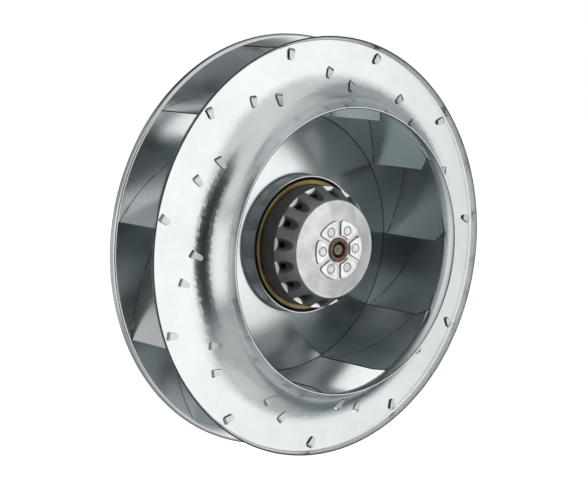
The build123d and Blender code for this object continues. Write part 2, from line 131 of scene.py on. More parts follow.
class FanBladeSizes(bpy.types.PropertyGroup):
    count: whole("Blades", "Number of blades", 11, 3)
    sheet: length("Blade sheet", "Thickness of the blades", 1.2)
    inner_radius: length("Inner radius", "Radius of the leading edge", 132.2)
    outer_radius: length("Outer radius", "Radius of the trailing edge", 196.0)
    wrap: turn("Wrap", "Angle between the two edges about the axis", 41.0)
    camber_radius: length("Camber radius", "Radius of the blade's arc", 164.0)
    first_angle: turn("First angle", "Angle of the first trailing edge", 135.96)
    corner_height: length("Corner height", "Leading edge's length from the back plate", 70.8)
    corner_angle: turn("Corner angle", "Slope from the leading edge up to the throat", 34.8)
    tab_root: length("Tab root", "Width of a tab at its fold", 7.0)
    tab_tip: length("Tab tip", "Width of a tab near its end", 4.4)
    tab_length: length("Tab length", "From the fold to the tab's end", 9.6)
    tab_fold: length("Tab fold", "Radius of a tab's fold at its middle", 1.3)
    slot_side: length("Slot side", "Gap beside a tab in its slot", 0.3)
    slot_open: length("Slot opening", "Gap behind a tab in its slot", 1.3)
    seat: length("Seat gap", "Gap between sheets that touch", 0.05)
    foot_gap: length("Foot gap", "Gap under the blades between their tabs", 0.35)


class FanRotorSizes(bpy.types.PropertyGroup):
    radius: length("Rotor radius", "Outside radius of the rotor shell", 64.4)
    rear: length("Rotor rear", "Height of the shell's open end", 16.0)
    front: length("Rotor front", "Height of the shell's front face", 85.0)
    wall: length("Rotor wall", "Thickness of the shell", 3.0)
    neck_gap: length("Neck gap", "Gap between the shell's front and the plate's neck", 1.2)
    neck_gap_depth: length("Gap depth", "How far back the gap at the neck reaches", 12.0)
    mouth: length("Rotor mouth", "Inside radius of the shell's front face", 58.0)
    bell_radius: length("Bell radius", "Radius of the bell's skirt", 57.9)
    ledge: length("Ledge height", "Height where the bell's cone starts", 103.8)
    cone_height: length("Cone height", "Height of the bell's cone", 18.9)
    face_radius: length("Face radius", "Radius of the bell's domed face", 46.4)
    face_rise: length("Face rise", "Height of the dome above its edge", 5.3)
    face_step: length("Step radius", "Radius of the faint step round the pads", 32.0)
    slots: whole("Cooling slots", "Number of cooling slots", 16, 4)
    slot_phase: turn("Slot phase", "Angle of the first cooling slot", 13.3)
    scoop_radius: length("Scoop radius", "Radius of each slot's hollow", 7.3)
    scoop_depth: length("Scoop depth", "Depth of the hollow at the ledge", 4.2)
    scoop_reach: length("Scoop reach", "Where the hollow runs out up the cone", 15.9)
    hole_radius: length("Hole radius", "Radius of the hole in each hollow", 2.9)
    pads: whole("Pads", "Number of raised pads", 6, 2)
    pad_phase: turn("Pad phase", "Angle of the first pad's middle", 58.3)
    pad_inner: length("Pad inside", "Inner radius of the pads", 13.6)
    pad_outer: length("Pad outside", "Outer radius of the pads", 28.0)
    pad_height: length("Pad height", "Height of the pads", 1.7)
    groove: length("Groove", "Width of the grooves between the pads", 4.0)
    pad_corner: length("Pad corner", "Radius of the pads' corners", 3.2)
    mark_circle: length("Mark circle", "Radius of the circle of round marks", 20.0)
    mark_radius: length("Mark radius", "Radius of each round mark", 4.1)
    bush_radius: length("Bush radius", "Outside radius of the hub bush", 11.65)
    bush_bore: length("Bush bore", "Bore of the hub bush", 7.55)
    bush_front: length("Bush front", "Height of the bush's front face", 129.8)
    shaft_radius: length("Shaft radius", "Radius of the shaft", 7.5)
    nose_radius: length("Nose radius", "Radius of the shaft's turned nose", 5.2)
    nose_length: length("Nose length", "Length of the shaft's turned nose", 3.2)
    nose_setback: length("Nose setback", "From the bush's face back to the shaft's end", 1.6)
    shaft_rear: length("Shaft rear", "Height of the shaft's rear end", 8.8)
    columns: whole("Columns", "Steps round the bell", 576, 96)


class FanMotorSizes(bpy.types.PropertyGroup):
    flange_radius: length("Flange radius", "Radius of the mounting flange", 62.0)
    flange: length("Flange", "Thickness of the mounting flange", 14.0)
    edge_round: length("Edge round", "Rounding of the flange's edges", 1.5)
    collar: length("Collar", "Height of the collar inside the rotor", 4.0)
    collar_outer: length("Collar radius", "Outside radius of the collar", 60.9)
    collar_wall: length("Collar wall", "Thickness of the collar", 2.5)
    mount_circle: length("Thread circle", "Diameter of the circle of threads", 102.0)
    holes: whole("Threaded holes", "Number of threaded holes", 4, 2)
    thread_radius: length("Thread radius", "Radius of the drilled hole", 3.4)
    thread_depth: length("Thread depth", "Depth of the drilled hole", 12.0)
    thread_pitch: length("Thread pitch", "Pitch of the thread", 1.25)
    seat_radius: length("Bearing seat", "Radius of the bearing seats", 17.5)
    grommet: length("Grommet radius", "Radius of the cable grommet", 4.5)
    grommet_head: length("Grommet head", "Radius of the grommet's head", 6.5)
    grommet_bore: length("Grommet bore", "Bore of the cable grommet", 3.0)


class FanColours(bpy.types.PropertyGroup):
    galvanised: colour("Galvanised", "Galvanised sheet", (0.76, 0.783, 0.792))
    cut: colour("Cut edge", "Sheared edges and punched slots", (0.045, 0.048, 0.05))
    cast: colour("Cast", "Die-cast aluminium", (0.74, 0.75, 0.745))
    gold: colour("Gold", "Yellow-passivated steel", (0.225, 0.17, 0.083))
    bush: colour("Bush", "Hub bush", (0.088, 0.05, 0.037))
    shaft: colour("Shaft", "Turned shaft end", (0.18, 0.17, 0.135))
    rubber: colour("Rubber", "Cable grommet", (0.022, 0.022, 0.023))
    plastic: colour("Plastic", "Bearing cap", (0.03, 0.03, 0.032))
    lamination: colour("Lamination", "Sheet steel stacks", (0.16, 0.165, 0.175))
    copper: colour("Copper", "Enamelled windings", (0.45, 0.13, 0.045))
    insulation: colour("Insulation", "Insulation plates", (0.62, 0.58, 0.46))


class FanStudio(bpy.types.PropertyGroup):
    camera_place: triple(
        "Camera place", "Where the camera stands", (-1.17208, -1.51210, 0.29468), "TRANSLATION"
    )
    camera_way: triple(
        "Camera way", "The way the camera looks", (0.620744, 0.768019, -0.157556), "DIRECTION"
    )
    camera_up: triple(
        "Camera up", "The way up in the picture", (0.112394, 0.111712, 0.987364), "DIRECTION"
    )
    lens: FloatProperty(
        name="Lens", description="Focal length for a 36 mm frame", default=119.64, unit="CAMERA"
    )
    floor_height: FloatProperty(
        name="Floor", description="Height of the floor", default=-0.62, unit="LENGTH"
    )


def rounded_line(corners, radii, step=math.radians(5)):
    """A line of straight runs with its inner corners rounded. Each corner's arc is the circle of
    its radius that touches both runs: it starts at radius times the tangent of half the turn before
    the corner, and its points are spaced evenly by angle."""
    corners = np.asarray(corners, float)
    parts = [corners[:1]]
    for before, corner, after, radius in zip(corners, corners[1:], corners[2:], radii):
        way_in = (corner - before) / np.linalg.norm(corner - before)
        way_out = (after - corner) / np.linalg.norm(after - corner)
        cross = way_in[0] * way_out[1] - way_in[1] * way_out[0]
        angle = math.atan2(cross, float(way_in @ way_out))
        if radius <= 0 or abs(angle) < 1e-6:
            parts.append(corner[None])
            continue
        start = corner - way_in * radius * math.tan(abs(angle) / 2)
        side = math.copysign(1, angle) * np.array([-way_in[1], way_in[0]])
        centre = start + side * radius
        turns = np.linspace(0, angle, max(3, int(abs(angle) / step) + 2))
        spoke = start - centre
        parts.append(
            centre
            + np.c_[
                spoke[0] * np.cos(turns) - spoke[1] * np.sin(turns),
                spoke[0] * np.sin(turns) + spoke[1] * np.cos(turns),
            ]
        )
    parts.append(corners[-1:])
    return np.vstack(parts)


def divided(line, longest, closed=False):
    """The same line with every run divided evenly, so that no part is over a given length."""
    line = np.vstack([line, line[:1]]) if closed else line
    parts = [
        np.linspace(start, end, max(1, math.ceil(np.linalg.norm(end - start) / longest)) + 1)[:-1]
        for start, end in zip(line, line[1:])
    ]
    return np.vstack(parts if closed else [*parts, line[-1:]])


def rounded_outline(corners, radii, longest):
    """A closed outline with every corner rounded, made as a rounded line that starts and ends
    halfway along the run from the last corner to the first."""
    corners = np.asarray(corners, float)
    middle = (corners[-1] + corners[0]) / 2
    line = rounded_line(np.vstack([middle, corners, middle]), radii)
    return divided(line[:-1], longest, closed=True)


def line_normals(line):
    """Unit normals to the left of an open line, from each point's two neighbours."""
    way = np.gradient(line, axis=0)
    way /= np.linalg.norm(way, axis=1)[:, None]
    return np.c_[-way[:, 1], way[:, 0]]


def sheet_outline(middle, thickness, cap_steps=9, cap_power=5):
    """A sheet's closed outline: its middle line moved half the thickness to each side, with both
    ends sheared nearly square. An end stands a little past the line's end, and its corners are
    rounded as a curve of a high power does."""
    normals = line_normals(middle)
    half = thickness / 2
    caps = []
    for end, normal, sense in ((middle[-1], normals[-1], -1), (middle[0], -normals[0], -1)):
        turns = sense * np.linspace(0, math.pi, cap_steps + 1)[1:-1]
        sides = np.abs(np.cos(turns)) ** cap_power + np.abs(np.sin(turns)) ** cap_power
        reach = sides ** (-1 / cap_power)
        across, along = half * reach * np.cos(turns), SHEAR * reach * np.sin(turns)
        caps.append(end + np.outer(across, normal) + np.outer(along, [-normal[1], normal[0]]))
    left = middle + normals * half
    right = (middle - normals * half)[::-1]
    return np.vstack([left, caps[0], right, caps[1]])


def grid_faces(rows, columns, wrap_rows, wrap_columns):
    """Corner numbers of the quads of a grid of points, closed into a ring where asked."""
    i = np.arange(rows if wrap_rows else rows - 1)[:, None]
    j = np.arange(columns if wrap_columns else columns - 1)[None, :]
    i1, j1 = (i + 1) % rows, (j + 1) % columns
    corners = [i * columns + j, i * columns + j1, i1 * columns + j1, i1 * columns + j]
    return np.stack(corners, -1).reshape(-1, 4)


def full_circle(columns):
    """Angles spaced evenly round a circle."""
    return np.linspace(0, 2 * math.pi, columns, endpoint=False)


def turned_points(radius, height, angles):
    """Points at a radius and a height, turned about the fan's axis."""
    x, z = radius * np.cos(angles), radius * np.sin(angles)
    return np.stack([x, np.broadcast_to(-height, x.shape), z], -1)


def add_piece(name, points, faces, body, sharp=None, replaces=()):
    """Puts points and faces into a new smooth mesh object and hangs it on its body. Sharp names the
    angle from which its edges are sharp."""
    mesh = bpy.data.meshes.new(name)
    faces = faces.tolist() if hasattr(faces, "tolist") else faces
    mesh.from_pydata(points.reshape(-1, 3), [], faces)
    mesh.update()
    mesh.shade_smooth()
    if sharp is not None:
        mesh.set_sharp_from_angle(angle=math.radians(SHARP[sharp]))
    piece = bpy.data.objects.new(name, mesh)
    bpy.context.scene.collection.objects.link(piece)
    if body:
        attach(piece, body)
    if replaces:
        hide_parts(*replaces)
    return piece


def outward(points, faces):
    """The faces, turned over if the closed mesh they make has a negative volume."""
    flat = points.reshape(-1, 3)
    a, b, c, d = (flat[faces[:, k]] for k in range(4))
    volume = np.einsum("ij,ij->", a, np.cross(b, c)) + np.einsum("ij,ij->", a, np.cross(c, d))
    return faces if volume > 0 else faces[:, ::-1]


def turned_piece(name, outline, columns, body, replaces):
    """A closed ring turned from a closed outline of (radius, height)."""
    points = turned_points(outline[:, :1], outline[:, 1:], full_circle(columns))
    faces = outward(points, grid_faces(len(outline), columns, True, True))
    return add_piece(name, points, faces, body, replaces=replaces)


def turned_solid(name, line, columns, body=None, replaces=()):
    """A solid turned from an open line that starts and ends on the axis. Both ends close with a fan
    of triangles on one point."""
    ring = line[1:-1]
    points = turned_points(ring[:, :1], ring[:, 1:], full_circle(columns)).reshape(-1, 3)
    poles = np.array([[0, -line[0, 1], 0], [0, -line[-1, 1], 0]])
    all_points = np.vstack([points, poles])
    faces = grid_faces(len(ring), columns, False, True)
    quads = outward(all_points, faces)
    j = np.arange(columns)
    last = (len(ring) - 1) * columns
    fans = [
        np.c_[np.full(columns, len(points)), (j + 1) % columns, j],
        np.c_[np.full(columns, len(points) + 1), last + j, last + (j + 1) % columns],
    ]
    if not np.array_equal(quads, faces):
        fans = [fan[:, ::-1] for fan in fans]
    all_faces = quads.tolist() + fans[0].tolist() + fans[1].tolist()
    return add_piece(name, all_points, all_faces, body, replaces=replaces)


def cut(piece, cutters):
    """Cuts the cutters' shapes out of a piece and removes them."""
    for cutter in cutters:
        step = piece.modifiers.new("cut", "BOOLEAN")
        step.operation, step.solver, step.object = "DIFFERENCE", "EXACT", cutter
    bpy.context.view_layer.update()
    graph = bpy.context.evaluated_depsgraph_get()
    made = bpy.data.meshes.new_from_object(piece.evaluated_get(graph))
    old = piece.data
    piece.modifiers.clear()
    piece.data = made
    bpy.data.meshes.remove(old)
    made.name = piece.name
    for cutter in cutters:
        shape = cutter.data
        bpy.data.objects.remove(cutter)
        bpy.data.meshes.remove(shape)


def read_mesh(items, key, kind=np.float32, width=1):
    """One attribute of all of a mesh's items as an array, with a row for each item."""
    values = np.zeros(len(items) * width, kind)
    items.foreach_get(key, values)
    return values.reshape(-1, width) if width > 1 else values


def section_places(places):
    """Places as (radius, height), in the plane through the axis."""
    return np.c_[np.hypot(places[:, 0], places[:, 2]), -places[:, 1]]


def set_field_normals(mesh, field, likeness=0.75):
    """Gives each corner of each face the normal that a formula gives at its place, and the face's
    own normal where the two differ, as on the walls of a cut. Puts out which faces those are."""
    corners = read_mesh(mesh.loops, "vertex_index", np.int32)
    places = read_mesh(mesh.vertices, "co", width=3)
    starts = read_mesh(mesh.polygons, "loop_start", np.int32)
    totals = read_mesh(mesh.polygons, "loop_total", np.int32)
    face_normals = np.repeat(read_mesh(mesh.polygons, "normal", width=3), totals, axis=0)
    wanted = field(places)[corners]
    far = np.einsum("ij,ij->i", wanted, face_normals) < likeness
    wanted[far] = face_normals[far]
    mesh.normals_split_custom_set(wanted.tolist())
    return np.add.reduceat(far, starts) * 2 > totals


def finish_sheet(piece, middle, seed, crease=None, lip=None):
    """Smooth normals and zinc on a sheet's broad faces, and bare steel on its cut edges: the slots'
    walls, the rim's end, which is what lies beyond the middle line's first point, and the inner
    half of the end towards the axis. The cut edges' near-black tone is partly painted shade, at
    the rim's end for the lip's shadowed side."""
    scene, mesh = bpy.context.scene, piece.data
    thickness = scene.fan_discs.sheet
    edges = set_field_normals(mesh, sheet_field(middle, thickness))
    flat = section_places(read_mesh(mesh.polygons, "center", width=3))

    def beyond(last, inner):
        near = np.linalg.norm(flat - last, axis=1) < thickness
        return ((flat - last) @ (last - inner) > 0) & near

    at_rim, at_end = beyond(middle[0], middle[1]), beyond(middle[-1], middle[-2])
    outer_half, inner_half = flat[:, 0] > middle[-1, 0], flat[:, 0] < middle[-1, 0]
    edges = (edges | at_rim) & ~(at_end & outer_half) | (at_end & inner_half)
    name, tone = "Galvanised " + piece.name, scene.fan_colours.galvanised
    mesh.materials.append(galvanised_sheet(name, seed, tone, crease=crease, lip=lip))
    mesh.materials.append(cut_edge())
    mesh.polygons.foreach_set("material_index", edges.astype(np.int32))


def sheet_field(middle, thickness, batch=20000):
    """The normal of a turned sheet at a place: the way from the nearest point of its middle line,
    measured in the plane of radius and height, turned back about the axis. Past either end of the
    line it is the line's own way, because the ends are sheared square. Places are worked through in
    batches, which bounds the memory."""
    start, end = middle[:-1], middle[1:]
    run = end - start
    run_square = np.einsum("ij,ij->i", run, run)

    def normals(places):
        flat = section_places(places)
        radius = flat[:, 0]
        result = np.empty((len(flat), 2))
        for low in range(0, len(flat), batch):
            part = flat[low : low + batch]
            share = np.einsum("ijk,jk->ij", part[:, None] - start[None], run) / run_square
            nearest = start[None] + np.clip(share, 0, 1)[..., None] * run[None]
            gap = part[:, None] - nearest
            best = np.argmin(np.einsum("ijk,ijk->ij", gap, gap), axis=1)
            result[low : low + batch] = gap[np.arange(len(part)), best]
        for last, inner in ((middle[0], middle[1]), (middle[-1], middle[-2])):
            way = (last - inner) / np.linalg.norm(last - inner)
            near = np.linalg.norm(flat - last, axis=1) < thickness
            result[((flat - last) @ way > SHEAR / 2) & near] = way
        result /= np.maximum(np.linalg.norm(result, axis=1), TINY)[:, None]
        out, up = result[:, 0], result[:, 1]
        return np.c_[out * places[:, 0] / radius, -up, out * places[:, 2] / radius]

    return normals


class Discs:
    """Middle lines of both discs and the front face of the shroud, worked out from the sizes."""

    def __init__(self, sizes):
        self.sizes = sizes
        half = sizes.sheet / 2
        rim = sizes.rim_radius - half
        slope = math.tan(sizes.cone_angle)
        rim_middle = sizes.plate_front + sizes.outlet_width + half / math.cos(sizes.cone_angle)
        throat = sizes.throat_radius + half
        foot = rim_middle + (rim - throat) * slope
        bend = sizes.throat_bend + half
        self.bend_radius = throat + bend
        self.bend_height = foot + bend * math.tan((math.pi / 2 - sizes.cone_angle) / 2)
        throat_front = self.bend_height + sizes.throat_collar
        lip_front = sizes.plate_front + sizes.outlet_width + sizes.shroud_lip
        self.shroud = rounded_line(
            [
                (rim - LIP_INSET * sizes.lip_flare, lip_front - SHEAR),
                (rim - sizes.lip_flare, rim_middle + sizes.lip_flare * slope),
                (throat, foot),
                (throat, throat_front - SHEAR),
            ],
            [sizes.rim_bend + half, bend],
            math.radians(2.5),
        )
        plate = sizes.plate_front - half
        neck = sizes.neck_inner + half
        neck_front = plate + sizes.dome_rise + half + sizes.neck_length
        self.back = rounded_line(
            [
                (rim, sizes.plate_front - sizes.back_lip + SHEAR),
                (rim, plate),
                (sizes.crease_radius, plate),
                (neck, plate + sizes.dome_rise),
                (neck, neck_front - SHEAR),
            ],
            [sizes.rim_bend + half, sizes.crease_bend + half, sizes.press_bend + half],
        )

    def face_height(self, radius, bend):
        """Height of a face of the shroud whose throat bends with a given radius: a cone outside,
        and towards the throat the circle of the bend."""
        angle = self.sizes.cone_angle
        radius = np.asarray(radius, float)
        edge = self.bend_radius + bend * math.sin(angle)
        cone = self.bend_height - bend * math.cos(angle) + (edge - radius) * math.tan(angle)
        inward = np.clip(self.bend_radius - radius, 0, bend)
        arc = self.bend_height - np.sqrt(bend**2 - inward**2)
        return np.where(radius > edge, cone, arc)

    def shroud_face(self, radius):
        """Height of the shroud's front face."""
        return self.face_height(radius, self.sizes.throat_bend)

    def shroud_underside(self, radius):
        """Height of the shroud's rear face, a sheet's thickness behind."""
        return self.face_height(radius, self.sizes.throat_bend + self.sizes.sheet)


class Camber:
    """The blades' arc, seen along the axis, for the blade whose leading edge lies at angle 0."""

    def __init__(self, sizes):
        self.sizes = sizes
        lead = np.array([sizes.inner_radius, 0.0])
        trail = sizes.outer_radius * np.array([math.cos(sizes.wrap), math.sin(sizes.wrap)])
        chord = float(np.linalg.norm(trail - lead))
        self.way = (trail - lead) / chord
        bulge = np.array([self.way[1], -self.way[0]])
        rise = sizes.camber_radius - math.sqrt(sizes.camber_radius**2 - (chord / 2) ** 2)
        self.centre = (lead + trail) / 2 + bulge * (rise - sizes.camber_radius)
        self.lead = lead
        start, end = lead - self.centre, trail - self.centre
        self.start, self.end = math.atan2(start[1], start[0]), math.atan2(end[1], end[0])

    def at_radius(self, radius):
        """Place and direction on the arc at a distance from the axis, by the cosine rule in the
        triangle of the axis, the arc's centre and the place."""
        reach = float(np.linalg.norm(self.centre))
        bend = self.sizes.camber_radius
        opening = math.acos((reach**2 + bend**2 - radius**2) / (2 * reach * bend))
        angle = math.atan2(-self.centre[1], -self.centre[0]) + opening
        out = np.array([math.cos(angle), math.sin(angle)])
        return self.centre + out * bend, np.array([-out[1], out[0]])


def spun(points, angle):
    """Points turned about the fan's axis by an angle from +X towards +Z."""
    c, s = math.cos(angle), math.sin(angle)
    x, y, z = points[..., 0], points[..., 1], points[..., 2]
    return np.stack([x * c - z * s, y, x * s + z * c], -1)


# Radius of each tab's middle, and how far its slot lies past the blade on the convex side.
SHROUD_TABS = ((0.155, 0.0026), (0.1684, 0.0), (0.1912, 0.0))
BACK_TABS = ((0.1396, 0.0), (0.1684, 0.0), (0.1904, 0.0))
# Rounding of a slot's corners over its width, on its open side and on the side of the tab.
SLOT_ROUND, SLOT_SQUARE = 0.45, 0.045
# Steps along a tab's stem, round its fold and along its tongue.
TAB_STEPS = (3, 6, 16)
# A tab's tip: its length and its last width, over the tab's width there.
TIP_LENGTH, TIP_WIDTH = 0.45, 0.45
# Rounding of the long edges of tabs and blades, over half their thickness.
TAB_EDGE, BLADE_EDGE = 0.35, 0.45
# Steps along a blade beside its corner's slope and under the shroud, the bevel of its two upright
# edges over half its thickness, and their thickness over the sheet's.
BLADE_STEPS, BLADE_BEVEL, BLADE_END = (12, 70), 0.2, 0.75
# What the tabs' faces keep of the zinc's tone, and their roughness.
TAB_TONE, TAB_ROUGH = 0.84, 0.38
# The material slots of a blade's sheared edges and of its tabs' broad faces.
CUT_SLOT, TAB_SLOT = 1, 2


def blade_turns(sizes):
    """The angle of each blade's leading edge."""
    first = sizes.first_angle - sizes.wrap
    return [first + 2 * math.pi * number / sizes.count for number in range(sizes.count)]


def slot_cutters(name, camber, tabs, heights, opening):
    """Prisms for every slot of a disc, each a rectangle with rounded corners along the blade's arc,
    open on the side away from the tab."""
    sizes = camber.sizes
    half_long = sizes.tab_root / 2 + sizes.slot_side
    low = -sizes.sheet / 2 - opening
    high = sizes.sheet / 2 + sizes.slot_side
    shares = (SLOT_ROUND, SLOT_ROUND, SLOT_SQUARE, SLOT_SQUARE)
    corners = [share * (high - low) for share in shares]
    outline = rounded_outline(
        [(-half_long, low), (half_long, low), (half_long, high), (-half_long, high)],
        corners,
        half_long,
    )
    count = len(outline)
    points, faces = [], []
    for (radius, aside), (bottom, top) in zip(tabs, heights):
        place, way = camber.at_radius(radius)
        inward = np.array([-way[1], way[0]])
        flat = place + outline[:, :1] * way + (outline[:, 1:] - aside) * inward
        for height in (bottom, top):
            points.append(np.c_[flat[:, 0], np.full(count, -height), flat[:, 1]])
    block = np.array(points)
    turned = np.concatenate([spun(block, angle) for angle in blade_turns(sizes)])
    ring = np.arange(count)
    after = (ring + 1) % count
    for base in range(0, len(turned) * count, 2 * count):
        low_ring, high_ring = base + ring, base + count + ring
        faces += np.c_[low_ring, base + after, base + count + after, high_ring].tolist()
        faces += [low_ring[::-1].tolist(), high_ring.tolist()]
    return add_piece(name, turned, faces, None)


def tab_strip(camber, tab, root, surface, up):
    """One tab, as a section carried along its path. The path climbs through the slot, turns inwards
    on a quarter circle and follows the disc's face; the section is a rounded bar as thick as the
    sheet, whose half width falls evenly from the root and rounds off at the tip as a half ellipse.
    A tab that lies to the side of its blade leans that way as it climbs."""
    sizes = camber.sizes
    radius, aside = tab
    place, way = camber.at_radius(radius)
    inward = np.array([-way[1], way[0]])
    place = place - aside * inward
    half = sizes.sheet / 2
    fold = sizes.tab_fold
    lift = half + sizes.seat
    stem_steps, fold_steps, tongue_steps = TAB_STEPS

    def over(reach):
        spot = place + np.outer(reach, inward)
        return surface(np.linalg.norm(spot, axis=1)) + up * lift

    reach = np.linspace(fold, sizes.tab_length - half, tongue_steps)
    flat = np.c_[reach, over(reach)]
    settle = np.interp(reach, [fold, 3 * fold], [0, 1])
    base = float(over(np.array([fold]))[0])
    flat[:, 1] = base + (flat[:, 1] - base) * settle if up < 0 else flat[:, 1]
    turns = np.linspace(0, math.pi / 2, fold_steps + 1)[:-1]
    bend = np.c_[fold - fold * np.cos(turns), base - up * fold + up * fold * np.sin(turns)]
    climb = np.linspace(root, base - up * fold, stem_steps + 1)[:-1]
    stem = np.c_[np.linspace(aside, 0, stem_steps + 1)[:-1], climb]
    path = np.vstack([stem, bend, flat])
    run = np.r_[0, np.cumsum(np.linalg.norm(np.diff(path, axis=0), axis=1))]
    begin = run[stem_steps + fold_steps]
    share = np.clip((run - begin) / (run[-1] - begin), 0, 1)
    width = sizes.tab_root / 2 + (sizes.tab_tip - sizes.tab_root) / 2 * share
    rest = np.clip((run[-1] - run) / (sizes.tab_tip * TIP_LENGTH), 0.02, 1)
    width *= TIP_WIDTH + (1 - TIP_WIDTH) * np.sqrt(1 - (1 - rest) ** 2)
    normal = line_normals(path) * up
    corners = [(-1, -half), (1, -half), (1, half), (-1, half)]
    section = rounded_outline(corners, [TAB_EDGE * half] * 4, 1.0)
    across, out = section[:, 0], section[:, 1]
    side = np.maximum(width[:, None] - (1 - np.abs(across)), 0) * (np.abs(across) > 0.5)
    side = np.sign(across) * side
    u = path[:, :1] + normal[:, :1] * out
    h = path[:, 1:] + normal[:, 1:] * out
    spot = place + u[..., None] * inward + side[..., None] * way
    return np.stack([spot[..., 0], -h, spot[..., 1]], -1)


def closed_strip(points, offset):
    """Faces of a section carried along a path, with both ends closed by one face each."""
    rows, columns = points.shape[:2]
    ring = offset + np.arange(columns)
    faces = (grid_faces(rows, columns, False, True) + offset).tolist()
    return faces + [ring.tolist(), ((rows - 1) * columns + ring[::-1]).tolist()]


def side_columns(points, share=0.5):
    """Which runs of a tab's section lie on its two narrow sides: those that go mostly across the
    section's longest chord, with less than a share of their length along it."""
    row = points[len(points) // 2]
    width = row[np.argmax(np.linalg.norm(row - row[0], axis=1))] - row[0]
    width /= np.linalg.norm(width)
    run = np.roll(row, -1, axis=0) - row
    return np.abs(run @ width) < share * np.linalg.norm(run, axis=1)


def edge_columns(points, share=0.97):
    """Which runs of a blade's section lie on its foot or its top: the short ones across the sheet
    and the corners beside them, with less than a share of their length along the height."""
    row = points[len(points) // 2]
    run = np.roll(row, -1, axis=0) - row
    return np.abs(run[:, 1]) < share * np.linalg.norm(run, axis=1)


def blade_strip(camber, discs):
    """The blade's sheet, as an upright section carried along its arc. The section's foot stands on
    the back plate, and its top is the lower of the shroud's underside and the slope up from the
    leading edge's corner."""
    sizes = camber.sizes
    half = sizes.sheet / 2
    slope = math.tan(sizes.corner_angle)
    corner = discs.sizes.plate_front + sizes.corner_height

    def limits(angle):
        spot = camber.centre + sizes.camber_radius * np.c_[np.cos(angle), np.sin(angle)]
        under = discs.shroud_underside(np.linalg.norm(spot, axis=1)) - sizes.seat
        return under, corner + slope * ((spot - camber.lead) @ camber.way)

    fine = np.linspace(camber.start, camber.end, 4000)
    under, rising = limits(fine)
    meets = fine[np.argmax(rising > under)]
    bevel = BLADE_BEVEL * half / sizes.camber_radius
    slope_steps, shroud_steps = BLADE_STEPS
    stations = np.r_[
        camber.start,
        np.linspace(camber.start + bevel, meets, slope_steps),
        np.linspace(meets, camber.end - bevel, shroud_steps)[1:],
        camber.end,
    ]
    thickness = np.ones(len(stations))
    thickness[[0, -1]] = BLADE_END
    foot = discs.sizes.plate_front + sizes.foot_gap
    top = np.minimum(*limits(stations))
    corners = [(-half, 0), (half, 0), (half, 1), (-half, 1)]
    section = rounded_outline(corners, [BLADE_EDGE * half] * 4, 0.09)
    across, share = section[:, 0], section[:, 1]
    height = np.where(share < 0.5, foot + share, top[:, None] - (1 - share))
    middle = (share > 0.05) & (share < 0.95)
    height = np.where(middle, foot + share * (top - foot)[:, None], height)
    radius = sizes.camber_radius + across[None, :] * thickness[:, None]
    x = camber.centre[0] + radius * np.cos(stations)[:, None]
    z = camber.centre[1] + radius * np.sin(stations)[:, None]
    return np.stack([x, -height, z], -1)


def blade_field(camber):
    """The normal of a blade's faces at a place: along the line from the arc's centre."""

    def normals(places):
        x, z = places[:, 0] - camber.centre[0], places[:, 2] - camber.centre[1]
        out = np.c_[x, np.zeros(len(places)), z]
        return out / np.maximum(np.linalg.norm(out, axis=1), TINY)[:, None]

    return normals


def press_disc(name, node, slots, middle, spans, tabs, opening):
    """Turns a disc's sheet from its middle line and cuts its blade slots."""
    sizes, camber = bpy.context.scene.fan_discs, Camber(bpy.context.scene.fan_blades)
    outline = sheet_outline(divided(middle, LONGEST_RUN), sizes.sheet)
    piece = turned_piece(name, outline, sizes.columns, ROTOR, [node])
    cut(piece, [slot_cutters(slots, camber, tabs, spans, opening)])
    return piece


class FAN_OT_shroud(bpy.types.Operator):
    """Press the shroud: lip, cone, curved throat and the blades' slots"""

    bl_idname = "fan.shroud"
    bl_label = "Shroud"

    def execute(self, context):
        discs = Discs(context.scene.fan_discs)
        depth = 4 * discs.sizes.sheet
        heights = [float(discs.shroud_face(radius)) for radius, _ in SHROUD_TABS]
        spans = [(height - depth, height + depth) for height in heights]
        opening = context.scene.fan_blades.slot_open
        piece = press_disc(
            "shroud_sheet", "shroud", "shroud_slots", discs.shroud, spans, SHROUD_TABS, opening
        )
        # The shroud's zinc carries painted shade on its lip.
        finish_sheet(piece, discs.shroud, seed=0.0, lip=LIP_SHADE)
        return {"FINISHED"}


class FAN_OT_back_plate(bpy.types.Operator):
    """Press the back plate: lip, flat ring, dome, neck and the blades' slots"""

    bl_idname = "fan.back_plate"
    bl_label = "Back plate"

    def execute(self, context):
        discs = Discs(context.scene.fan_discs)
        sizes = discs.sizes
        span = (sizes.plate_front - 3 * sizes.sheet, sizes.plate_front + 2 * sizes.sheet)
        spans = [span] * len(BACK_TABS)
        opening = context.scene.fan_blades.slot_side
        piece = press_disc(
            "back_plate_sheet", "back_plate", "plate_slots", discs.back, spans, BACK_TABS, opening
        )
        # The back plate's zinc carries painted shade on a narrow ring at the crease.
        finish_sheet(piece, discs.back, seed=3.7, crease=sizes.crease_radius)
        return {"FINISHED"}


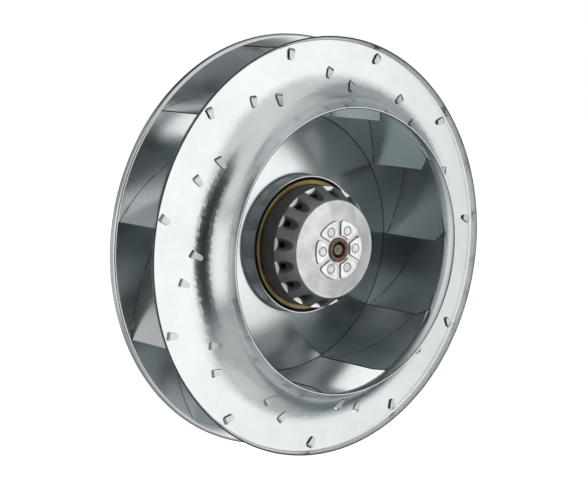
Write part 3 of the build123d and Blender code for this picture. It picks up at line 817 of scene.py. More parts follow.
class FAN_OT_blades(bpy.types.Operator):
    """Bend the blades, with their tabs folded flat on both discs"""

    bl_idname = "fan.blades"
    bl_label = "Blades"

    def execute(self, context):
        discs = Discs(context.scene.fan_discs)
        sizes = context.scene.fan_blades
        camber = Camber(sizes)
        parts = [blade_strip(camber, discs)]
        for tab in SHROUD_TABS:
            root = float(discs.shroud_underside(tab[0])) - sizes.tab_root / 3
            parts.append(tab_strip(camber, tab, root, discs.shroud_face, 1))
        rear = discs.sizes.plate_front - discs.sizes.sheet
        for tab in BACK_TABS:
            root = discs.sizes.plate_front + sizes.tab_root / 3
            parts.append(tab_strip(camber, tab, root, lambda r: np.full_like(r, rear), -1))
        faces, slots, offset = [], [], 0
        for part in parts:
            faces += closed_strip(part, offset)
            rows, columns = part.shape[:2]
            if part is parts[0]:
                own = np.zeros((rows - 1, columns), np.int32)
                # The near-black edges at the foot are partly painted shade for the gap under the
                # blade.
                own[:, edge_columns(part)] = CUT_SLOT
                own[[0, -1]] = CUT_SLOT
            else:
                own = np.tile(np.where(side_columns(part), CUT_SLOT, TAB_SLOT), (rows - 1, 1))
            slots.append(np.r_[own.reshape(-1), CUT_SLOT, CUT_SLOT])
            offset += rows * columns
        slots = np.concatenate(slots).astype(np.int32)
        flat = np.vstack([part.reshape(-1, 3) for part in parts])
        sheet_points = parts[0].shape[0] * parts[0].shape[1]
        tone = context.scene.fan_colours.galvanised
        tab_tone = [value * TAB_TONE for value in tone]
        for number, angle in enumerate(blade_turns(sizes)):
            node = f"blade_{number + 1:02d}"
            sheet = f"{node}_sheet"
            piece = add_piece(sheet, flat, faces, ROTOR, "blade", [node])
            steel = piece.data
            face_up(steel)
            set_blade_normals(steel, blade_field(camber), sheet_points)
            steel.transform(Matrix.Rotation(-angle, 4, "Y"))
            seed = 1.3 * number + 0.9
            for material in (
                # The blades' zinc carries painted shade towards the axis.
                galvanised_sheet(f"Galvanised blade {number + 1}", seed, tone, inner_shade=BLADE_INNER_SHADE),
                cut_edge(),
                galvanised_sheet(f"Galvanised tabs {number + 1}", seed, tab_tone, TAB_ROUGH),
            ):
                steel.materials.append(material)
            steel.polygons.foreach_set("material_index", slots)
        return {"FINISHED"}


def face_up(mesh):
    """Turns each closed part of a mesh so that its faces point outwards."""
    work = bmesh.new()
    work.from_mesh(mesh)
    bmesh.ops.recalc_face_normals(work, faces=work.faces)
    work.to_mesh(mesh)
    work.free()


def set_blade_normals(mesh, field, own, likeness=0.9):
    """Formula normals on the blade's two broad faces. The tabs, whose points come after the blade's
    own, and the edges keep what the mesh gives them."""
    current = read_mesh(mesh.corner_normals, "vector", width=3)
    corners = read_mesh(mesh.loops, "vertex_index", np.int32)
    out = field(read_mesh(mesh.vertices, "co", width=3))[corners]
    facing = np.einsum("ij,ij->i", out, current)
    broad = (np.abs(facing) > likeness) & (corners < own)
    current[broad] = out[broad] * np.sign(facing[broad])[:, None]
    mesh.normals_split_custom_set(current.tolist())


def smooth_step(value, low, high):
    """0 below low, 1 above high, and between them the cubic that is level at both ends."""
    share = np.clip((value - low) / (high - low), 0, 1)
    return share * share * (3 - 2 * share)


def from_spoke(angle, first, count):
    """Angles counted from the nearest of so many evenly spaced spokes."""
    step = 2 * math.pi / count
    return (angle - first + step / 2) % step - step / 2


def pad_distance(sizes, radius, angle):
    """The distance to the edge of the raised pads, positive on a pad. Each pad is the part between
    two circles and two lines beside the grooves' middles, its corners rounded: the distance is the
    length of what lies past both edges once they are moved in by the corner's radius."""
    half_step = math.pi / sizes.pads
    local = np.abs(from_spoke(angle, sizes.pad_phase, sizes.pads))
    side = radius * np.sin(half_step - local) - sizes.groove / 2
    ring = np.minimum(sizes.pad_outer - radius, radius - sizes.pad_inner)
    outer = radius > (sizes.pad_inner + sizes.pad_outer) / 2
    corner = np.where(outer, sizes.pad_corner, sizes.pad_corner / 3)
    past = np.hypot(np.maximum(corner - side, 0), np.maximum(corner - ring, 0))
    inside = np.minimum(side, ring)
    return np.where(inside > corner, inside, corner - past)


# How much of the casting's tone each part of the bell keeps, mostly as painted light and shade:
# painted shade on the flank, which faces away from the light, on the set-back skirt and in the
# nearly black holes, a painted highlight on the ledge, and lighter pads. And what the scoops'
# hollows and the pads' walls lose of their tone as painted shade, and what the ridges, marks and
# the pit lose, which makes them darker.
BELL_LIGHT_AND_SHADE = {"skirt": 0.36, "flank": 0.52, "ledge": 1.2, "hole": 0.04, "face": 0.96, "pad": 1.16}
BELL_SHADES = {"hollow": 0.72, "wall": 0.8, "ridge": 0.6, "mark": 0.16, "pit": 0.85}
# Rows of points on each part of the bell.
BELL_ROWS = {"skirt": 6, "flank": 46, "edge": 5, "face": 16, "pads": 62}
# The bell's smallest lengths.
FLANK_END = 0.55 * MILLIMETRE  # How far the flank's last row stays below the face's edge.
FACE_ROUND = 0.9 * MILLIMETRE  # Rounding between the flank and the face.
LEDGE_ROUND = 0.08 * MILLIMETRE  # Rounding of the ledge's edge.
LEDGE_STEP = 0.1 * MILLIMETRE  # Space kept between the rows at the ledge.
HOLE_FOOT = 0.35 * MILLIMETRE  # Height of the holes' lowest point over the ledge.
HOLE_DEPTH = 7 * MILLIMETRE
FACE_DROP = 0.1 * MILLIMETRE  # Depth of the faint step round the pads.
CASTING = 4.2 * MILLIMETRE  # Thickness of the casting.
# A small pit on the bell's face: its place along +X and +Z, and its radius.
PIT_PLACE, PIT_RADIUS = (0.0232, 0.0100), 1.1 * MILLIMETRE


class BellRows:
    """The bell's rows of points, from its skirt round its face to its inside, with their tones."""

    def __init__(self, sizes):
        self.sizes = sizes
        self.angles = full_circle(sizes.columns)
        self.top = sizes.ledge + sizes.cone_height
        self.lean = (sizes.bell_radius - sizes.face_radius) / sizes.cone_height
        self.rows = []

    def add(self, radius, height, tone):
        """Adds one row, of numbers or of values for each column."""
        row = (radius, height, tone)
        self.rows.append([np.broadcast_to(value, len(self.angles)) for value in row])

    def add_skirt(self):
        """The skirt up to the ledge, and the ledge's edge."""
        sizes = self.sizes
        low, high = sizes.front - sizes.wall, sizes.ledge - LEDGE_STEP
        # Painted shade on the skirt, and a painted highlight on the ledge's edge.
        for level in np.linspace(low, high, BELL_ROWS["skirt"]):
            self.add(sizes.bell_radius, level, BELL_LIGHT_AND_SHADE["skirt"])
        self.add(sizes.bell_radius - LEDGE_ROUND, sizes.ledge, BELL_LIGHT_AND_SHADE["ledge"])

    def add_flank(self):
        """The flank: the cone's radius, less what each scoop takes away, which along a radial line
        is the far wall of a round channel whose depth falls to nothing as a parabola. The scoop's
        hole goes on inwards."""
        sizes = self.sizes
        last = sizes.scoop_reach + 0.5 * MILLIMETRE
        rise = np.linspace(0, last, BELL_ROWS["flank"])
        rise = np.concatenate([rise, [sizes.cone_height - FLANK_END]])
        cone = (sizes.bell_radius - self.lean * rise)[:, None]
        local = from_spoke(self.angles, sizes.slot_phase, sizes.slots)[None, :]
        floor = cone - sizes.scoop_depth * (1 - (rise[:, None] / sizes.scoop_reach) ** 2)
        centre = floor + sizes.scoop_radius
        side = centre * np.sin(local)
        wall = centre * np.cos(local) - np.sqrt(np.clip(sizes.scoop_radius**2 - side**2, 0, None))
        inside = (np.abs(side) < sizes.scoop_radius) & (wall < cone)
        flank = np.where(inside, wall, cone)
        hole_rise = rise[:, None] - (sizes.hole_radius + HOLE_FOOT)
        off = np.hypot(flank * np.sin(local), hole_rise)
        flank = np.where(off < sizes.hole_radius, flank - HOLE_DEPTH, flank)
        # Painted shade: the hollows darken with their depth, and the holes are nearly black.
        hollow = np.clip((cone - wall) / sizes.scoop_depth, 0, 1) * inside
        shade = BELL_LIGHT_AND_SHADE["flank"] * (1 - BELL_SHADES["hollow"] * np.sqrt(hollow))
        tone = np.where(off < 1.12 * sizes.hole_radius, BELL_LIGHT_AND_SHADE["hole"], shade)
        ledge_end = np.minimum(flank[0], sizes.bell_radius - LEDGE_STEP) + 0.02 * MILLIMETRE
        self.add(ledge_end, sizes.ledge, BELL_LIGHT_AND_SHADE["ledge"])
        height = sizes.ledge + rise
        height[0] += 0.03 * MILLIMETRE
        for row in range(len(rise)):
            radius = np.minimum(flank[row], sizes.bell_radius - LEDGE_ROUND)
            self.add(radius, height[row], tone[row])

    def add_face_edge(self):
        """The rounding between the flank and the face, as a quarter of a turn."""
        sizes = self.sizes
        for turned in np.linspace(0.15, 1, BELL_ROWS["edge"]):
            lift = math.sin(turned * math.pi / 2)
            back = 1 - math.cos(turned * math.pi / 2)
            radius = sizes.face_radius + self.lean * FLANK_END * (1 - lift) - FACE_ROUND * back
            tone = BELL_LIGHT_AND_SHADE["flank" if lift < 0.6 else "face"]
            self.add(radius, self.top - FLANK_END * (1 - lift), tone)

    def add_face(self):
        """The face: a shallow dome with the pads added and the round marks sunk into them."""
        sizes = self.sizes
        start = sizes.face_radius - FACE_ROUND
        pads_from = sizes.pad_outer + 1.2 * MILLIMETRE
        bush = sizes.bush_radius + 0.1 * MILLIMETRE
        outer = np.linspace(start, pads_from, BELL_ROWS["face"])
        inner = np.linspace(pads_from, bush, BELL_ROWS["pads"])
        radii = np.concatenate([outer[1:], inner[1:]])
        slope = sizes.face_rise * (start - radii) / (start - sizes.pad_outer)
        dome = self.top + np.where(radii > sizes.pad_outer, slope, sizes.face_rise)
        dome = dome - FACE_DROP * (radii > sizes.face_step)
        radius, angle = np.meshgrid(radii, self.angles, indexing="ij")
        to_edge = pad_distance(sizes, radius, angle)
        raised = smooth_step(to_edge, -0.1 * MILLIMETRE, 0.25 * MILLIMETRE)
        local = from_spoke(angle, sizes.pad_phase, sizes.pads)
        mark = np.hypot(radius * np.cos(local) - sizes.mark_circle, radius * np.sin(local))
        ridge = bell_curve(mark - sizes.mark_radius, 0.5 * MILLIMETRE)
        sunk = 1 - smooth_step(mark, 0.55 * sizes.mark_radius, 0.9 * sizes.mark_radius)
        pressed = raised * (0.75 * ridge + 0.3 * sunk) * MILLIMETRE
        level = dome[:, None] + raised * sizes.pad_height - pressed
        tone = BELL_LIGHT_AND_SHADE["face"] + (BELL_LIGHT_AND_SHADE["pad"] - BELL_LIGHT_AND_SHADE["face"]) * raised
        # Painted shade on the pads' walls; the ridges, the marks and the pit are darker.
        wall = bell_curve(to_edge - 0.02 * MILLIMETRE, 0.24 * MILLIMETRE)
        marked = BELL_SHADES["ridge"] * ridge * raised + BELL_SHADES["mark"] * sunk * raised
        x, z = radius * np.cos(angle) - PIT_PLACE[0], radius * np.sin(angle) - PIT_PLACE[1]
        pit = bell_curve(np.hypot(x, z), PIT_RADIUS)
        tone = tone * (1 - BELL_SHADES["wall"] * wall) * (1 - marked)
        tone = tone * (1 - BELL_SHADES["pit"] * pit)
        for row in range(len(radii)):
            self.add(radius[row], level[row], tone[row])

    def add_inside(self):
        """The bore and the hollow behind the face, back to the skirt's end."""
        sizes = self.sizes
        boss = sizes.bush_radius + 6.3 * MILLIMETRE
        floor, back = sizes.ledge + 0.2 * MILLIMETRE, self.top - CASTING
        skirt = sizes.bell_radius - CASTING
        for radius, level in (
            (sizes.bush_radius, floor),
            (boss, floor),
            (boss, back),
            (sizes.face_radius - 6 * MILLIMETRE, back),
            (sizes.bell_radius - 12 * MILLIMETRE, sizes.ledge),
            (skirt, sizes.ledge - 6 * MILLIMETRE),
            (skirt, sizes.front - sizes.wall),
        ):
            self.add(radius, level, BELL_LIGHT_AND_SHADE["flank"])


def bell_curve(distance, width):
    """1 at no distance, falling to nothing as the exponential of the distance's square."""
    return np.exp(-((distance / width) ** 2))


class FAN_OT_bell(bpy.types.Operator):
    """Cast the rotor's bell: cone with cooling slots, domed face and raised pads"""

    bl_idname = "fan.bell"
    bl_label = "Rotor bell"

    def execute(self, context):
        bell = BellRows(context.scene.fan_rotor)
        bell.add_skirt()
        bell.add_flank()
        bell.add_face_edge()
        bell.add_face()
        bell.add_inside()
        radius, height, tones = (np.array(rows) for rows in zip(*bell.rows))
        points = turned_points(radius, height, bell.angles)
        faces = outward(points, grid_faces(*radius.shape, True, True))
        name, slot = "rotor_bell_casting", "die-cast aluminium"
        piece = add_piece(name, points, faces, ROTOR, "bell", ["rotor_bell"])
        shade = piece.data.attributes.new("shade", "FLOAT", "POINT")
        shade.data.foreach_set("value", tones.reshape(-1).astype(np.float32))
        tone = context.scene.fan_colours.cast
        piece.data.materials.append(cast_aluminium("Cast bell", tone, "shade"))
        return {"FINISHED"}


BUSH_LENGTH = 0.025
# The circlip's groove in the shaft.
GROOVE_REAR, GROOVE_WIDTH, GROOVE_DEPTH = 0.0122, 0.0011, 0.0007
# The bearing tube in the flange's middle: its wall and its front end.
TUBE_WALL, TUBE_FRONT = 0.0055, 0.1036
# Gap between a plug and the hole that holds it.
PLUG_GAP = 0.00005
# The grommet's rear and front ends and its head's rear, down from the axis, and its hole's ends.
GROMMET_ENDS, GROMMET_HEAD, CABLE_HOLE = (0.047, 0.065), (0.062, 0.0621), (0.046, 0.066)


class FAN_OT_rotor_shell(bpy.types.Operator):
    """Draw the rotor's shell and turn the hub bush and the shaft"""

    bl_idname = "fan.rotor_shell"
    bl_label = "Rotor shell, bush and shaft"

    def execute(self, context):
        sizes = context.scene.fan_rotor
        colours = context.scene.fan_colours
        self.add_shell(sizes, colours)
        self.add_bush(sizes, colours)
        self.add_shaft(sizes, colours)
        return {"FINISHED"}

    def add_shell(self, sizes, colours):
        """The pot round the rotor, with a step that leaves a gap at the plate's neck."""
        inner = sizes.radius - sizes.wall
        low = sizes.front - sizes.wall
        step = sizes.front - sizes.neck_gap_depth
        narrow = sizes.radius - sizes.neck_gap
        corners = [
            (sizes.radius, sizes.rear),
            (sizes.radius, step),
            (narrow, step + sizes.neck_gap),
            (narrow, sizes.front),
            (sizes.mouth, sizes.front),
            (sizes.mouth, low),
            (inner, low),
            (inner, sizes.rear),
        ]
        radii = [0.0004, 0.0005, 0.0005, 0.0022, 0.0006, 0.0003, 0.0008, 0.0004]
        shell = rounded_outline(corners, radii, LONGEST_RUN)
        name, slot = "rotor_shell_steel", "passivated steel"
        piece = turned_piece(name, shell, COLUMNS["rotor shell"], ROTOR, ["rotor_shell"])
        piece.data.materials.append(passivated_steel("Passivated steel", colours.gold))

    def add_bush(self, sizes, colours):
        """The bush in the bell's middle."""
        front, rear = sizes.bush_front, sizes.bush_front - BUSH_LENGTH
        outer, bore = sizes.bush_radius, sizes.bush_bore
        corners = [(outer, rear), (outer, front), (bore, front), (bore, rear)]
        bush = rounded_outline(corners, [0.0005, 0.0007, 0.0009, 0.0005], LONGEST_RUN)
        name, slot = "hub_bush_ring", "brown bush"
        piece = turned_piece(name, bush, COLUMNS["bush"], ROTOR, ["hub_bush"])
        piece.data.materials.append(brown_bush("Hub bush", colours.bush))

    def add_shaft(self, sizes, colours):
        """The shaft, with a centre hole in its turned nose and a groove for its circlip."""
        end = sizes.bush_front - sizes.nose_setback
        shoulder = end - sizes.nose_length
        radius, groove_floor = sizes.shaft_radius, sizes.shaft_radius - GROOVE_DEPTH
        groove_front = GROOVE_REAR + GROOVE_WIDTH
        corners = [
            (0, end - 0.0012),
            (0.0016, end - 0.0002),
            (0.0022, end),
            (sizes.nose_radius, end),
            (sizes.nose_radius, shoulder),
            (radius, shoulder),
            (radius, groove_front),
            (groove_floor, groove_front),
            (groove_floor, GROOVE_REAR),
            (radius, GROOVE_REAR),
            (radius, sizes.shaft_rear),
            (0, sizes.shaft_rear),
        ]
        radii = [0.0002, 0.0003, 0.0007, 0.0003, 0.0004, 0.0001, 0.0001, 0.0001, 0.0001, 0.0008]
        line = rounded_line(corners, radii)
        name, slot = "shaft_steel", "shaft steel"
        piece = turned_solid(name, line, COLUMNS["shaft"], ROTOR, ["shaft"])
        piece.data.materials.append(turned_steel("Turned shaft", colours.shaft, sizes.nose_radius))


class FAN_OT_motor(bpy.types.Operator):
    """Cast the motor's flange with its threaded holes, and fit the bearing cap and the grommet"""

    bl_idname = "fan.motor"
    bl_label = "Motor flange"

    def execute(self, context):
        sizes = context.scene.fan_motor
        colours = context.scene.fan_colours
        metal = cast_aluminium("Cast flange", colours.cast)
        self.add_flange(sizes, metal)
        self.add_cap(sizes, colours)
        self.add_grommet(sizes, colours)
        return {"FINISHED"}

    def add_flange(self, sizes, metal):
        """The flange, its collar and its bearing tube, with their holes and threads."""
        inner = sizes.seat_radius
        tube = inner + TUBE_WALL
        collar, collar_front = sizes.collar_outer, sizes.flange + sizes.collar
        collar_inner = collar - sizes.collar_wall
        corners = [
            (inner, 0),
            (sizes.flange_radius, 0),
            (sizes.flange_radius, sizes.flange),
            (collar, sizes.flange),
            (collar, collar_front),
            (collar_inner, collar_front),
            (collar_inner, sizes.flange),
            (tube, sizes.flange),
            (tube, TUBE_FRONT),
            (inner, TUBE_FRONT),
        ]
        edge = sizes.edge_round * 0.5
        radii = [0.0006, 0.0012, edge, 0.0003, 0.0005, 0.0005, 0.001, 0.003, 0.0006, 0.0004]
        outline = rounded_outline(corners, radii, LONGEST_RUN)
        name, slot = "motor_flange_casting", "die-cast aluminium"
        piece = turned_piece(name, outline, COLUMNS["flange"], STATOR, ["motor_flange"])
        turns = [2 * math.pi / sizes.holes * (number + 0.5) for number in range(sizes.holes)]
        cutters = [self.hole_cutter(number, sizes, angle) for number, angle in enumerate(turns)]
        bore = sizes.grommet + PLUG_GAP
        low, high = CABLE_HOLE
        line = np.array([(0, low), (bore, low), (bore, high), (0, high)])
        cutters.append(turned_solid("cable_hole", line, COLUMNS["cable hole"]))
        cutters[-1].data.transform(to_flange_bottom(sizes))
        cut(piece, cutters)
        piece.data.set_sharp_from_angle(angle=math.radians(SHARP["flange"]))
        piece.data.materials.append(metal)
        for number, angle in enumerate(turns):
            add_thread(f"flange_thread_{number + 1}", sizes, angle, metal)

    def hole_cutter(self, number, sizes, angle):
        """The drilled and countersunk shape of one threaded hole."""
        radius, depth, outside = sizes.thread_radius, sizes.thread_depth, -0.001
        line = np.array(
            [
                (0, outside),
                (radius + 0.0018, outside),
                (radius + 0.0008, 0.0),
                (radius, 0.0008),
                (radius, depth - 0.0006),
                (0, depth),
            ]
        )
        cutter = turned_solid(f"hole_{number}", line, COLUMNS["threaded hole"])
        place = Vector((math.cos(angle), 0, math.sin(angle))) * sizes.mount_circle / 2
        cutter.data.transform(Matrix.Translation(place))
        return cutter

    def add_cap(self, sizes, colours):
        """The plug at the tube's rear end, with a sunk middle."""
        edge, middle, rear, front = sizes.seat_radius - PLUG_GAP, 0.0009, 0.0005, 0.003
        sunk = [(0, middle), (0.0105, middle), (0.012, rear)]
        corners = [*sunk, (edge, rear), (edge, front), (0, front)]
        line = rounded_line(corners, [0.0004, 0.0004, 0.0005, 0.0004])
        name, slot = "bearing_cap_disc", "black plastic"
        piece = turned_solid(name, line, COLUMNS["cap"], STATOR, ["bearing_cap"])
        piece.data.materials.append(moulded_plastic("Bearing cap", colours.plastic, 0.38))

    def add_grommet(self, sizes, colours):
        """The cable's grommet, turned upright and laid into the flange's rim."""
        bore, radius, head = sizes.grommet_bore, sizes.grommet, sizes.grommet_head
        (low, top), (head_low, head_edge) = GROMMET_ENDS, GROMMET_HEAD
        corners = [
            (bore, low),
            (radius, low),
            (radius, head_low),
            (head, head_edge),
            (head - 0.0004, top),
            (bore, top),
        ]
        line = rounded_outline(corners, [0.0004, 0.0006, 0.0002, 0.0006, 0.0012, 0.0008], 0.002)
        name, slot = "cable_grommet_rubber", "black rubber"
        piece = turned_piece(name, line, COLUMNS["grommet"], STATOR, ["cable_grommet"])
        piece.data.transform(to_flange_bottom(sizes))
        piece.data.materials.append(moulded_plastic("Grommet rubber", colours.rubber, 0.62))


def to_flange_bottom(sizes):
    """Lays a turned piece's height along the way down from the axis, in the flange's middle."""
    return Matrix(((1, 0, 0, 0), (0, 0, 1, -sizes.flange / 2), (0, 1, 0, 0), (0, 0, 0, 1)))


def add_thread(name, sizes, angle, material, around=36, rows=110):
    """The thread in one hole: a tube whose radius rises and falls once a pitch along its length,
    shifted evenly round its circle, so that the ridges climb as a screw."""
    end, ridge_depth, gap = 1.2 * MILLIMETRE, 0.4 * MILLIMETRE, 10 * MICROMETRE
    turns = full_circle(around)
    height = np.linspace(end, sizes.thread_depth - end, rows)
    phase = height[:, None] / sizes.thread_pitch - turns[None, :] / (2 * math.pi)
    crest = sizes.thread_radius - 2 * gap
    radius = crest - ridge_depth * np.abs((phase % 1) * 2 - 1)
    radius[[0, -1]] = crest
    radius = np.vstack([radius, np.full((2, around), sizes.thread_radius - gap)])
    points = turned_points(radius, np.r_[height, height[-1], height[0]][:, None], turns)
    points += np.array([math.cos(angle), 0, math.sin(angle)]) * sizes.mount_circle / 2
    faces = outward(points, grid_faces(len(points), around, True, True))
    piece = add_piece(name, points, faces, STATOR, "thread")
    piece.data.materials.append(material)


class FAN_OT_inner_parts(bpy.types.Operator):
    """Finish the parts inside the motor, which keep their own shapes"""

    bl_idname = "fan.inner_parts"
    bl_label = "Inner parts"

    def execute(self, context):
        colours = context.scene.fan_colours
        steel = turned_steel("Bearing steel", (0.55, 0.56, 0.57))
        spring = turned_steel("Spring steel", (0.12, 0.13, 0.15))
        stack = laminated_steel("Lamination stack", colours.lamination)
        finishes = {
            "rotor_core": stack,
            "stator_core": stack,
            "rotor_end_ring": cast_aluminium("Cast end ring", colours.cast),
            "stator_windings": wound_copper("Windings", colours.copper),
            "front_insulation": moulded_plastic("Insulation", colours.insulation, 0.5),
            "rear_insulation": moulded_plastic("Insulation rear", colours.insulation, 0.5),
            "shaft_circlip": spring,
            "preload_spring": spring,
            "front_bearing_inner": steel,
            "front_bearing_outer": steel,
            "rear_bearing_inner": steel,
            "rear_bearing_outer": steel,
        }
        for node, material in finishes.items():
            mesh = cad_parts[node].data
            mesh.materials.clear()
            mesh.materials.append(material)
        return {"FINISHED"}


def node_group(name, values, outputs):
    """A shader group that takes a vector and the given numbers and puts out numbers, with its first
    and last node. Both nodes are None where the group is there already."""
    found = bpy.data.node_groups.get(name)
    if found:
        return found, None, None
    group = bpy.data.node_groups.new(name, "ShaderNodeTree")
    group.interface.new_socket(name="Vector", in_out="INPUT", socket_type="NodeSocketVector")
    number = "NodeSocketFloat"
    for label, value in values.items():
        socket = group.interface.new_socket(name=label, in_out="INPUT", socket_type=number)
        socket.default_value = value
    for label in outputs:
        group.interface.new_socket(name=label, in_out="OUTPUT", socket_type=number)
    return group, group.nodes.new("NodeGroupInput"), group.nodes.new("NodeGroupOutput")


def put(tree, kind, values=None, **settings):
    """A new node with its settings, and its inputs by name or number as values or as links."""
    made = tree.nodes.new(kind)
    for key, value in settings.items():
        setattr(made, key, value)
    for key, value in (values or {}).items():
        if isinstance(value, bpy.types.NodeSocket):
            tree.links.new(value, made.inputs[key])
        else:
            made.inputs[key].default_value = value
    return made


def sums(tree, operation, first, second=0.0, third=0.0):
    """The output of a Math node."""
    values = {0: first, 1: second, 2: third}
    return put(tree, "ShaderNodeMath", values, operation=operation).outputs[0]


def between(tree, value, low, high, to_low=0.0, to_high=1.0):
    """The output of a clamped Map Range node."""
    values = {0: value, 1: low, 2: high, 3: to_low, 4: to_high}
    return put(tree, "ShaderNodeMapRange", values).outputs[0]


def mixed(tree, share, first, second, blend="MIX"):
    """The colour output of a Mix node."""
    values = {0: share, 6: first, 7: second}
    return put(tree, "ShaderNodeMix", values, data_type="RGBA", blend_type=blend).outputs[2]


def scaled(tree, vector, factor):
    """A colour or vector times a number."""
    return put(tree, "ShaderNodeVectorMath", {0: vector, 3: factor}, operation="SCALE").outputs[0]


def noise(tree, vector, scale, detail, roughness):
    """The value of a Noise Texture node."""
    values = {"Vector": vector, "Scale": scale, "Detail": detail, "Roughness": roughness}
    return put(tree, "ShaderNodeTexNoise", values).outputs[0]


def toned(tone, factors):
    """A colour times one factor or three, up to white."""
    return (*np.minimum(np.array(tone[:]) * factors, 1.0).tolist(), 1.0)


def fine_lines():
    """Fine lines left by spinning or rolling: noise that changes quickly with the distance from the
    axis and the height, and slowly with the place across."""
    numbers = {"Across": 900.0, "Along": 6.0, "Seed": 0.0}
    group, start, end = node_group("Fine lines", numbers, ["Value"])
    if start is None:
        return group
    split = put(group, "ShaderNodeSeparateXYZ", {0: start.outputs["Vector"]})
    x, y, z = split.outputs
    squares = [sums(group, "MULTIPLY", value, value) for value in (x, z)]
    radius = sums(group, "SQRT", sums(group, "ADD", *squares))
    across = sums(group, "ADD", radius, sums(group, "MULTIPLY", y, 0.37))
    along = start.outputs["Along"]
    place = {
        0: sums(group, "MULTIPLY", across, start.outputs["Across"]),
        1: sums(group, "MULTIPLY", x, along),
        2: sums(group, "MULTIPLY_ADD", z, along, start.outputs["Seed"]),
    }
    flat = put(group, "ShaderNodeCombineXYZ", place).outputs[0]
    group.links.new(noise(group, flat, 1.0, 3.0, 0.6), end.inputs["Value"])
    return group


def zinc_bloom():
    """The look of a zinc coat: slow clouds from a wide noise, and small crystals from cells whose
    random grey is softened. Both values lie about 0.5."""
    numbers = {"Cloud Scale": 18.0, "Crystal Scale": 160.0, "Seed": 0.0}
    group, start, end = node_group("Zinc bloom", numbers, ["Clouds", "Crystals"])
    if start is None:
        return group
    values = {0: start.outputs["Vector"], 1: start.outputs["Seed"]}
    moved = put(group, "ShaderNodeVectorMath", values, operation="ADD").outputs[0]
    values = {"Vector": moved, "Scale": start.outputs["Crystal Scale"], "Randomness": 1.0}
    cells = put(group, "ShaderNodeTexVoronoi", values, feature="SMOOTH_F1")
    grey = put(group, "ShaderNodeSeparateColor", {0: cells.outputs["Color"]})
    clouds = noise(group, moved, start.outputs["Cloud Scale"], 4.0, 0.55)
    group.links.new(clouds, end.inputs["Clouds"])
    group.links.new(grey.outputs[0], end.inputs["Crystals"])
    return group


def cast_grain():
    """The skin of a casting: fine grain as height, and broad uneven patches as a value."""
    numbers = {"Grain Scale": 1400.0, "Patch Scale": 70.0}
    group, start, end = node_group("Cast grain", numbers, ["Height", "Patches"])
    if start is None:
        return group
    vector = start.outputs["Vector"]
    fine = noise(group, vector, start.outputs["Grain Scale"], 4.0, 0.65)
    wide = noise(group, vector, start.outputs["Patch Scale"], 5.0, 0.6)
    group.links.new(sums(group, "MULTIPLY_ADD", wide, 0.8, fine), end.inputs["Height"])
    group.links.new(wide, end.inputs["Patches"])
    return group


def axis_distance(tree, where):
    """The distance from the fan's axis."""
    values = {0: where, 1: (1, 0, 1)}
    flat = put(tree, "ShaderNodeVectorMath", values, operation="MULTIPLY").outputs[0]
    return put(tree, "ShaderNodeVectorMath", {0: flat}, operation="LENGTH").outputs["Value"]


class Coat:
    """A material's tree with its shader, its Object coordinates and one pattern's group."""

    def __init__(self, name, group, **values):
        self.material = bpy.data.materials.new(name)
        self.material.use_nodes = True
        self.tree = self.material.node_tree
        self.where = put(self.tree, "ShaderNodeTexCoord").outputs["Object"]
        self.pattern = self.add_group(group, **values) if group else None

    def add_group(self, group, **values):
        """The outputs of a group's node. Its values' names have underscores for spaces."""
        values = {key.replace("_", " "): value for key, value in values.items()}
        values["Vector"] = self.where
        return put(self.tree, "ShaderNodeGroup", values, node_tree=group).outputs

    def tones(self, value, edges, tone, dark, light):
        """A colour that goes from darker to lighter between two edges of a value."""
        share = between(self.tree, value, *edges)
        return mixed(self.tree, share, toned(tone, dark), toned(tone, light))

    def done(self, base, roughness, metallic, height, strength, distance):
        """Gives the shader its inputs, with a bump of a height's strength and distance."""
        values = {"Strength": strength, "Distance": distance, "Height": height}
        bump = put(self.tree, "ShaderNodeBump", values).outputs[0]
        shader = self.tree.nodes["Principled BSDF"]
        links = {"Base Color": base, "Roughness": roughness, "Normal": bump}
        for key, value in links.items():
            self.tree.links.new(value, shader.inputs[key])
        shader.inputs["Metallic"].default_value = metallic
        return self.material


# Painted shade on the shroud's lip, which is darker than the rest: from which radius to which, and
# what it keeps.
LIP_SHADE = {"inside": 0.1972, "outside": 0.1979, "kept": 0.72}
# Painted shade on the blades: darker inside one radius and untouched outside another, and the sheet
# also rougher inside by so much.
BLADE_INNER_SHADE = {"inside": 0.162, "outside": 0.186, "kept": (0.6, 0.68, 0.7, 1), "rougher": 0.2}
# Painted shade at the back plate's crease: its half width, the half width with its soft edge, and
# what it keeps.
CREASE_SHADE = (0.4 * MILLIMETRE, 1.1 * MILLIMETRE, 0.3)


